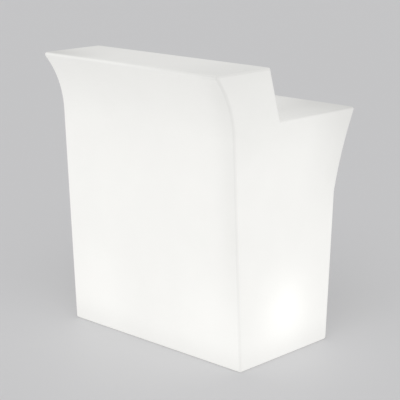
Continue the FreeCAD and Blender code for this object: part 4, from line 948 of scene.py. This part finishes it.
class COUNTER_OT_ports(Operator):
    """Makes the service ports' covers and screws, and finishes their gaskets and inserts"""

    bl_idname = "counter.ports"
    bl_label = "Service ports"

    def execute(self, context):
        settings = context.scene.bar_counter
        look, metals = settings.ports, settings.metals
        plastic = moulded("port_cover_plastic", look.colour)
        nodes = each(SIDES, "port_cover")
        places = [plan(node) for node in nodes]
        ring = ring_of(look.screws, COVER_SCREW_RING, 180.0 / look.screws)[0]
        fit_copies(self.cover(look, ring), plastic, nodes, places)
        seats = [(x + a, y + b, COVER_FACE) for x, y, _ in places for a, b, _ in ring]
        fit(repeat(self.screw(), seats), plated("zinc_screws", metals.steel), "cover_screws")
        coat(foam("port_gasket_foam", metals.foam), *each(SIDES, "port_gasket"))
        coat(turned_brass("cover_insert_brass", metals.brass), "cover_inserts")
        return {"FINISHED"}

    def cover(self, look, ring):
        """One cover about the upright axis: a rim, a shallow ribbed dish and a boss."""
        face, back = COVER_FACE, 8.0
        outline = [(0.0, face), (15.4, face), (16.0, 3.2), (16.8, 4.0), (77.2, 4.0), (78.0, 3.2)]
        outline += [(78.6, face), (97.6, face), (98.5, 3.3), (99.0, 4.0), (99.0, back), (0.0, back)]
        disc = lathe("port_cover", outline, 96)
        rib = soften(bar("cover_rib", (15.0, -1.2, 3.1), (78.5, 1.2, 5.0)), 0.3)
        turns = ring_of(look.ribs, 0.0)[1]
        disc = combine(disc, repeat(rib, [(0.0, 0.0, 0.0)] * look.ribs, turns), "UNION")
        sink = [(0.0, 2.0), (4.75, 2.0), (4.65, face), (2.6, 5.4), (2.6, 9.0), (0.0, 9.0)]
        disc = combine(disc, repeat(lathe("sink", sink, 32), ring))
        notch = [(0.0, 1.0), (8.0, 1.0), (8.0, face), (6.6, 5.2), (5.6, 5.6), (0.0, 5.6)]
        disc = combine(disc, repeat(lathe("finger_notch", notch, 40), ring_of(2, 99.0)[0]))
        socket = [(0.0, 4.6), (2.05, 4.6), (2.05, 7.8), (2.3, back), (2.3, 9.0), (0.0, 9.0)]
        sockets = repeat(lathe("bracket_socket", socket, 24), [(0.0, 37.0, 0.0), (0.0, -37.0, 0.0)])
        return combine(disc, sockets)

    def screw(self):
        """One countersunk screw that points up, with its head on the origin."""
        outline = [(0.0, -15.0), (1.6, -15.0), *thread(2.5, 0.8, -14.4, -3.2), (2.5, -3.0)]
        outline += [(2.5, -2.4), (4.5, -0.12), (4.35, 0.0), (0.0, 0.0)]
        return turned(combine(lathe("cover_screw", outline, 28), cross(2.3, 0.9, 1.4)), 180.0)


class COUNTER_OT_feet(Operator):
    """Makes the levelling feet: fluted rubber pads, threaded studs and lock nuts"""

    bl_idname = "counter.feet"
    bl_label = "Levelling feet"

    def execute(self, context):
        settings = context.scene.bar_counter
        look, metals = settings.feet, settings.metals
        black = rubber("foot_rubber", look.rubber)
        steel = plated("zinc_studs", metals.steel)
        pads = each(FEET, "foot_pad")
        places = [plan(pad) for pad in pads]
        fit_copies(self.pad(look), black, pads, places)
        fit_copies(self.stud(look), steel, each(FEET, "foot_stud"), places)
        nut = combine(hexed("lock_nut", 9.8, 4.9), hole(5.05, 0.0, 4.9))
        nuts = repeat(moved(nut, (0.0, 0.0, 15.1)), places)
        fit(nuts, plated("zinc_nuts", metals.steel), "foot_lock_nuts")
        inserts = repeat(self.insert(), places)
        fit(inserts, turned_brass("foot_insert_brass", metals.brass), "foot_inserts")
        return {"FINISHED"}

    def insert(self):
        """One insert: a brass bush with two knurled bands and a plain bore."""
        outline = [(5.3, 20.0), (7.6, 20.0), (8.0, 20.6), (8.0, 31.0), (6.9, 31.6), (6.9, 34.4)]
        outline += [(8.0, 35.0), (8.0, 49.4), (7.6, 50.0), (5.3, 50.0), (5.05, 49.6)]
        outline += [(5.05, 20.4), (5.3, 20.0)]
        bush = lathe("foot_insert", outline, 72)
        return fluted(bush, 72, low=21.0, high=49.0, depth=0.35, outside=7.5)

    def pad(self, look):
        """One pad: ring grooves in its tread, a rounded rim and flutes round its side."""
        outline = [(0.0, 0.0), (5.4, 0.0), (6.2, 0.9), (8.0, 0.9), (8.8, 0.0), (12.4, 0.0)]
        outline += [(13.2, 0.9), (15.0, 0.9), (15.8, 0.0), (19.4, 0.0), (20.0, 0.4), (22.6, 0.4)]
        outline += [(24.2, 0.9), (25.0, 2.4), (25.0, 7.6), (24.5, 9.1), (23.0, 10.0), (10.4, 10.0)]
        outline += [(9.7, 9.3), (8.6, 9.3), (7.9, 10.0), (6.5, 10.0), (6.5, 3.0), (0.0, 3.0)]
        steps, depth = look.flutes * 2, look.flute_depth / MM
        pad = lathe("foot_pad", outline, steps)
        fluted(pad, steps, low=2.5, high=7.5, depth=depth, outside=24.0)
        return soften(pad, 0.15, 1, 50.0)

    def stud(self, look):
        """One stud: a spigot in the pad, a hexagonal collar and a threaded rod."""
        outline = [(0.0, 3.0), (5.9, 3.0), (6.4, 3.5), (6.4, 11.0), (4.4, 11.0), (4.4, 14.0)]
        outline += [(4.1, 15.0), *thread(5.0, look.pitch / MM, 15.2, 44.0), (3.9, 44.6)]
        rod = lathe("foot_stud", [*outline, (3.5, 45.0), (0.0, 45.0)], 40)
        return combine(rod, moved(hexed("collar", 7.5, 5.0), (0.0, 0.0, 10.0)), "UNION")


class COUNTER_OT_panel(Operator):
    """Makes the power panel: plate, screws, inlet with its splash flap, and rocker switch"""

    bl_idname = "counter.panel"
    bl_label = "Power panel"

    def execute(self, context):
        settings = context.scene.bar_counter
        look, metals = settings.panel, settings.metals
        edge = look.edge / MM
        black = moulded("panel_plastic", look.plate, 0.5, grain=0.00012, grain_scale=1100.0)
        housing = moulded("housing_plastic", look.plate, 0.38)
        satin = moulded("flap_plastic", look.flap, 0.4)
        glossy = moulded("rocker_plastic", look.rocker, 0.22, grain=0.00002)
        fit(self.plate(edge), black, "panel_plate")
        round_off(housing, edge, "inlet_body", "switch_housing")
        round_off(housing, edge * 2, "inlet_boot")
        fit(self.flap(look, edge), satin, "inlet_flap")
        fit(self.rocker(edge), glossy, "rocker")
        zinc = plated("panel_screw_zinc", metals.steel)
        pan_screws("panel_screws", zinc, radius=1.75, length=9.0, head=3.2, height=1.8, axis=1)
        coat(foam("panel_gasket_foam", metals.foam), "panel_gasket")
        coat(plated("flap_pin_steel", metals.steel), "flap_pin")
        coat(plated("nickel_plate", (0.72, 0.68, 0.58), 0.22), "inlet_blades", "switch_tabs")
        coat(sheathing("switch_wire_sheath", (0.5, 0.3, 0.2)), "switch_wires")
        return {"FINISHED"}

    def plate(self, edge):
        """The plate, with a fine groove round its face."""
        (left, _, foot), (right, face, top) = box_of("panel_plate")
        outer, inner = [
            bar(
                "groove",
                (left + inset, face - depth, foot + inset),
                (right - inset, face + 1.0, top - inset),
            )
            for inset, depth in ((2.6, 0.4), (3.4, 1.4))
        ]
        return combine(softened("panel_plate", edge), combine(outer, inner))

    def flap(self, look, edge):
        """The flap, with grip ribs across it and a finger lip along its bottom."""
        _, back, foot = box_of("inlet_flap")[0]
        thick, first, pitch, width, rise, sunk = 3.0, 6.0, 3.2, 1.2, 0.6, 0.3
        x, face = centre("inlet_flap")[0], back + thick
        ridges = []
        for number in range(look.ribs):
            low = foot + first + pitch * number
            depths, heights = (face - sunk, face + rise), (low, low + width)
            ridges.append(self.ridge("flap_rib", x, 12.0, depths, heights, 0.3))
        lip_rise, lip_low, lip_high = 1.8, 0.8, 2.6
        depths, heights = (face - sunk, face + lip_rise), (foot + lip_low, foot + lip_high)
        ridges.append(self.ridge("finger_lip", x, 9.0, depths, heights, 0.6, 3))
        return combine(softened("inlet_flap", edge), gather(*ridges), "UNION")

    def rocker(self, edge):
        """The rocker, with three grip ridges across each end of its hollow face."""
        x, _, z = centre("switch_housing")
        axis_depth, half_depth, half_width = 3.6, 0.3, 0.4
        axis = box_of("switch_housing")[1][1] - axis_depth
        tilt, half_length, middle_rise, end_rise = math.radians(9.0), 11.5, 1.8, 3.4
        ridges = []
        for sign in (-1.0, 1.0):
            for step in (5.6, 7.6, 9.6):
                out, up = middle_rise + (end_rise - middle_rise) * step / half_length, sign * step
                y = axis + out * math.cos(tilt) - up * math.sin(tilt)
                level = z + out * math.sin(tilt) + up * math.cos(tilt)
                depths = (y - half_depth, y + half_depth)
                heights = (level - half_width, level + half_width)
                ridges.append(self.ridge("rocker_ridge", x, 6.0, depths, heights, 0.25))
        return combine(softened("rocker", edge), gather(*ridges), "UNION")

    def ridge(self, name, x, reach, depths, heights, rounding, segments=2):
        """A rounded bar that reaches this far to both sides of a place across the panel."""
        low, high = [(x + side * reach, y, z) for side, y, z in zip((-1.0, 1.0), depths, heights)]
        return soften(bar(name, low, high), rounding, segments)


class COUNTER_OT_vent(Operator):
    """Makes the vent plug in the base, with its slotted head"""

    bl_idname = "counter.vent"
    bl_label = "Vent plug"

    def execute(self, context):
        outline = [(0.0, 1.5), (5.2, 1.5), (6.4, 1.7), (7.0, 2.2), (7.0, 3.0), (4.0, 3.0)]
        plug = lathe("vent_plug", [*outline, (4.0, 8.4), (3.4, 9.0), (0.0, 9.0)], 48)
        slot = bar("vent_slot", (-4.2, -0.6, 0.5), (4.2, 0.6, 2.4))
        pore = lathe("pore", [(0.0, 0.5), (0.6, 0.5), (0.6, 2.6), (0.0, 2.6)], 16)
        plug = combine(combine(plug, slot), repeat(pore, ring_of(4, 4.0, 45.0)[0]))
        plug = moved(soften(plug, 0.12, 1, 40.0), plan("vent_plug"))
        fit(plug, moulded("vent_plastic", (0.08, 0.08, 0.08), 0.5), "vent_plug")
        return {"FINISHED"}


class COUNTER_OT_lamps(Operator):
    """Makes the lamps' fine parts and finishes the rest of each lamp"""

    bl_idname = "counter.lamps"
    bl_label = "Lamps"

    def execute(self, context):
        metals = context.scene.bar_counter.metals
        steel = plated("bracket_zinc", metals.steel)
        holder = moulded("lamp_holder_plastic", (0.72, 0.71, 0.68), 0.35)
        body = moulded("bulb_body_plastic", (0.8, 0.8, 0.78), 0.3)
        globe = opal_glass("lit_globe", (0.9, 0.9, 0.88), (1.0, 0.97, 0.92))
        round_off(steel, 0.25, *each(SIDES, "lamp_bracket"))
        round_off(holder, 0.6, *each(SIDES, "lamp_holder"))
        coat(glazed("contact_ceramic", (0.82, 0.8, 0.74)), *each(SIDES, "contact_block"))
        coat(turned_brass("sleeve_brass", metals.brass), *each(SIDES, "thread_sleeve"))
        coat(plated("bulb_cap_metal", (0.7, 0.7, 0.68), 0.25), *each(SIDES, "bulb_cap"))
        coat(globe, *each(SIDES, "bulb_globe"))
        nodes = each(SIDES, "bulb_body")
        low, high = box_of(nodes[0])
        places = [plan(node, low[2]) for node in nodes]
        ribbed = self.body(high[2] - low[2], (high[0] - low[0]) / 2)
        fit_copies(ribbed, body, nodes, places)
        pan_screws("bracket_screws", steel, radius=2.0, length=5.1, head=3.5, height=2.2)
        coat(steel, "lamp_nipples", "nipple_nuts")
        return {"FINISHED"}

    def body(self, tall, rim):
        """A bulb's body with cooling ribs down its cone."""
        foot, neck = tall * 0.2, rim * 0.49
        outline = [(0.0, 0.0), (rim * 0.468, 0.0), (neck, foot), (rim * 0.96, tall * 0.81)]
        outline += [(rim, tall * 0.87), (rim, tall * 0.98), (rim * 0.985, tall), (0.0, tall)]
        return fluted(lathe("bulb_body", outline, 72), 72, low=foot, high=tall * 0.8, depth=0.9)


class COUNTER_OT_wiring(Operator):
    """Finishes the junction box, its fittings and the leads"""

    bl_idname = "counter.wiring"
    bl_label = "Wiring"

    def execute(self, context):
        metals = context.scene.bar_counter.metals
        grey = moulded("box_plastic", (0.42, 0.43, 0.44))
        cream = moulded("terminal_plastic", (0.75, 0.73, 0.64), 0.3)
        round_off(grey, 0.8, "junction_box", "junction_box_lid")
        round_off(grey, 0.6, "lead_clips")
        round_off(cream, 0.5, "terminal_block")
        zinc = plated("lid_screw_zinc", metals.steel)
        pan_screws("lid_screws", zinc, radius=1.75, length=12.0, head=3.5, height=2.2)
        coat(grey, "box_glands", "gland_nuts")
        for node in ("supply_lead", "left_lamp_lead", "right_lamp_lead"):
            coat(sheathing(f"{node}_sheath", metals.sheath), node)
        return {"FINISHED"}


class COUNTER_OT_stage(Operator):
    """Lays the floor, sets the soft studio light and places the camera"""

    bl_idname = "counter.stage"
    bl_label = "Stage"

    def execute(self, context):
        look = context.scene.bar_counter.stage
        self.lay_floor(look)
        self.light(context, look)
        self.place_camera(context, look)
        context.scene.view_settings.view_transform = "Standard"
        return {"FINISHED"}

    def lay_floor(self, look):
        """A wide round floor that is seen from above only and lights nothing from below."""
        bpy.ops.object.select_all(action="DESELECT")
        level = (0.0, 0.0, -look.floor_drop)
        bpy.ops.mesh.primitive_circle_add(
            vertices=96, radius=look.floor_radius, fill_type="NGON", location=level
        )
        floor = settle(added("studio_floor"))
        floor.visible_diffuse = False
        finish = Finish("studio_floor_paint", Roughness=0.55, IOR=1.45)
        cloud = finish.noise(1.4)
        finish.mottle(look.floor_colour, 0.985, cloud)
        finish.roughen(0.5, (cloud, 0.08))
        finish.seen_from_one_side()
        paint(floor, finish.material)

    def light(self, context, look):
        """Even light from all round and one soft lamp from above."""
        world = bpy.data.worlds.new("studio_light")
        world.use_nodes = True
        sky = world.node_tree.nodes["Background"]
        sky.inputs["Color"].default_value = (1.0, 1.0, 1.0, 1.0)
        sky.inputs["Strength"].default_value = look.sky_level
        context.scene.world = world
        bpy.ops.object.light_add(type="SUN", location=(0.0, -2.0, 4.0))
        key = added("key_light")
        key.rotation_euler = Vector(look.key_side).to_track_quat("Z", "Y").to_euler()
        key.data.energy = look.key_level
        key.data.angle = look.key_spread

    def place_camera(self, context, look):
        turn = (look.camera_tilt, 0.0, look.camera_turn)
        bpy.ops.object.camera_add(location=look.camera_place, rotation=turn)
        camera = added("photo_camera")
        camera.data.lens = look.camera_lens
        camera.data.sensor_width = 36.0
        camera.data.clip_end = 200.0
        context.scene.camera = camera


PARTS = (
    COUNTER_OT_shell,
    COUNTER_OT_shelf,
    COUNTER_OT_ports,
    COUNTER_OT_feet,
    COUNTER_OT_panel,
    COUNTER_OT_vent,
    COUNTER_OT_lamps,
    COUNTER_OT_wiring,
    COUNTER_OT_stage,
)
GROUPS = (
    ShellLook,
    ShelfLook,
    PortLook,
    FootLook,
    PanelLook,
    MetalLook,
    StageLook,
    CounterSettings,
)


class COUNTER_PT_parts(Panel):
    """Lists the counter's parts and settings in the sidebar"""

    bl_idname = "COUNTER_PT_parts"
    bl_label = "Bar Counter"
    bl_space_type = "VIEW_3D"
    bl_region_type = "UI"
    bl_category = "Bar Counter"

    def draw(self, context):
        settings = context.scene.bar_counter
        for name in CounterSettings.__annotations__:
            group = getattr(settings, name)
            box = self.layout.box()
            for setting in group.__annotations__:
                box.prop(group, setting)
        for part in PARTS:
            self.layout.operator(part.bl_idname)


CLASSES = (*GROUPS, *PARTS, COUNTER_PT_parts)


def register():
    for made in CLASSES:
        bpy.utils.register_class(made)
    bpy.types.Scene.bar_counter = PointerProperty(type=CounterSettings)


def unregister():
    del bpy.types.Scene.bar_counter
    for made in reversed(CLASSES):
        bpy.utils.unregister_class(made)


def main():
    register()
    bpy.ops.counter.shell()
    bpy.ops.counter.shelf()
    bpy.ops.counter.ports()
    bpy.ops.counter.feet()
    bpy.ops.counter.panel()
    bpy.ops.counter.vent()
    bpy.ops.counter.lamps()
    bpy.ops.counter.wiring()
    bpy.ops.counter.stage()


if __name__ == "__main__":
    main()
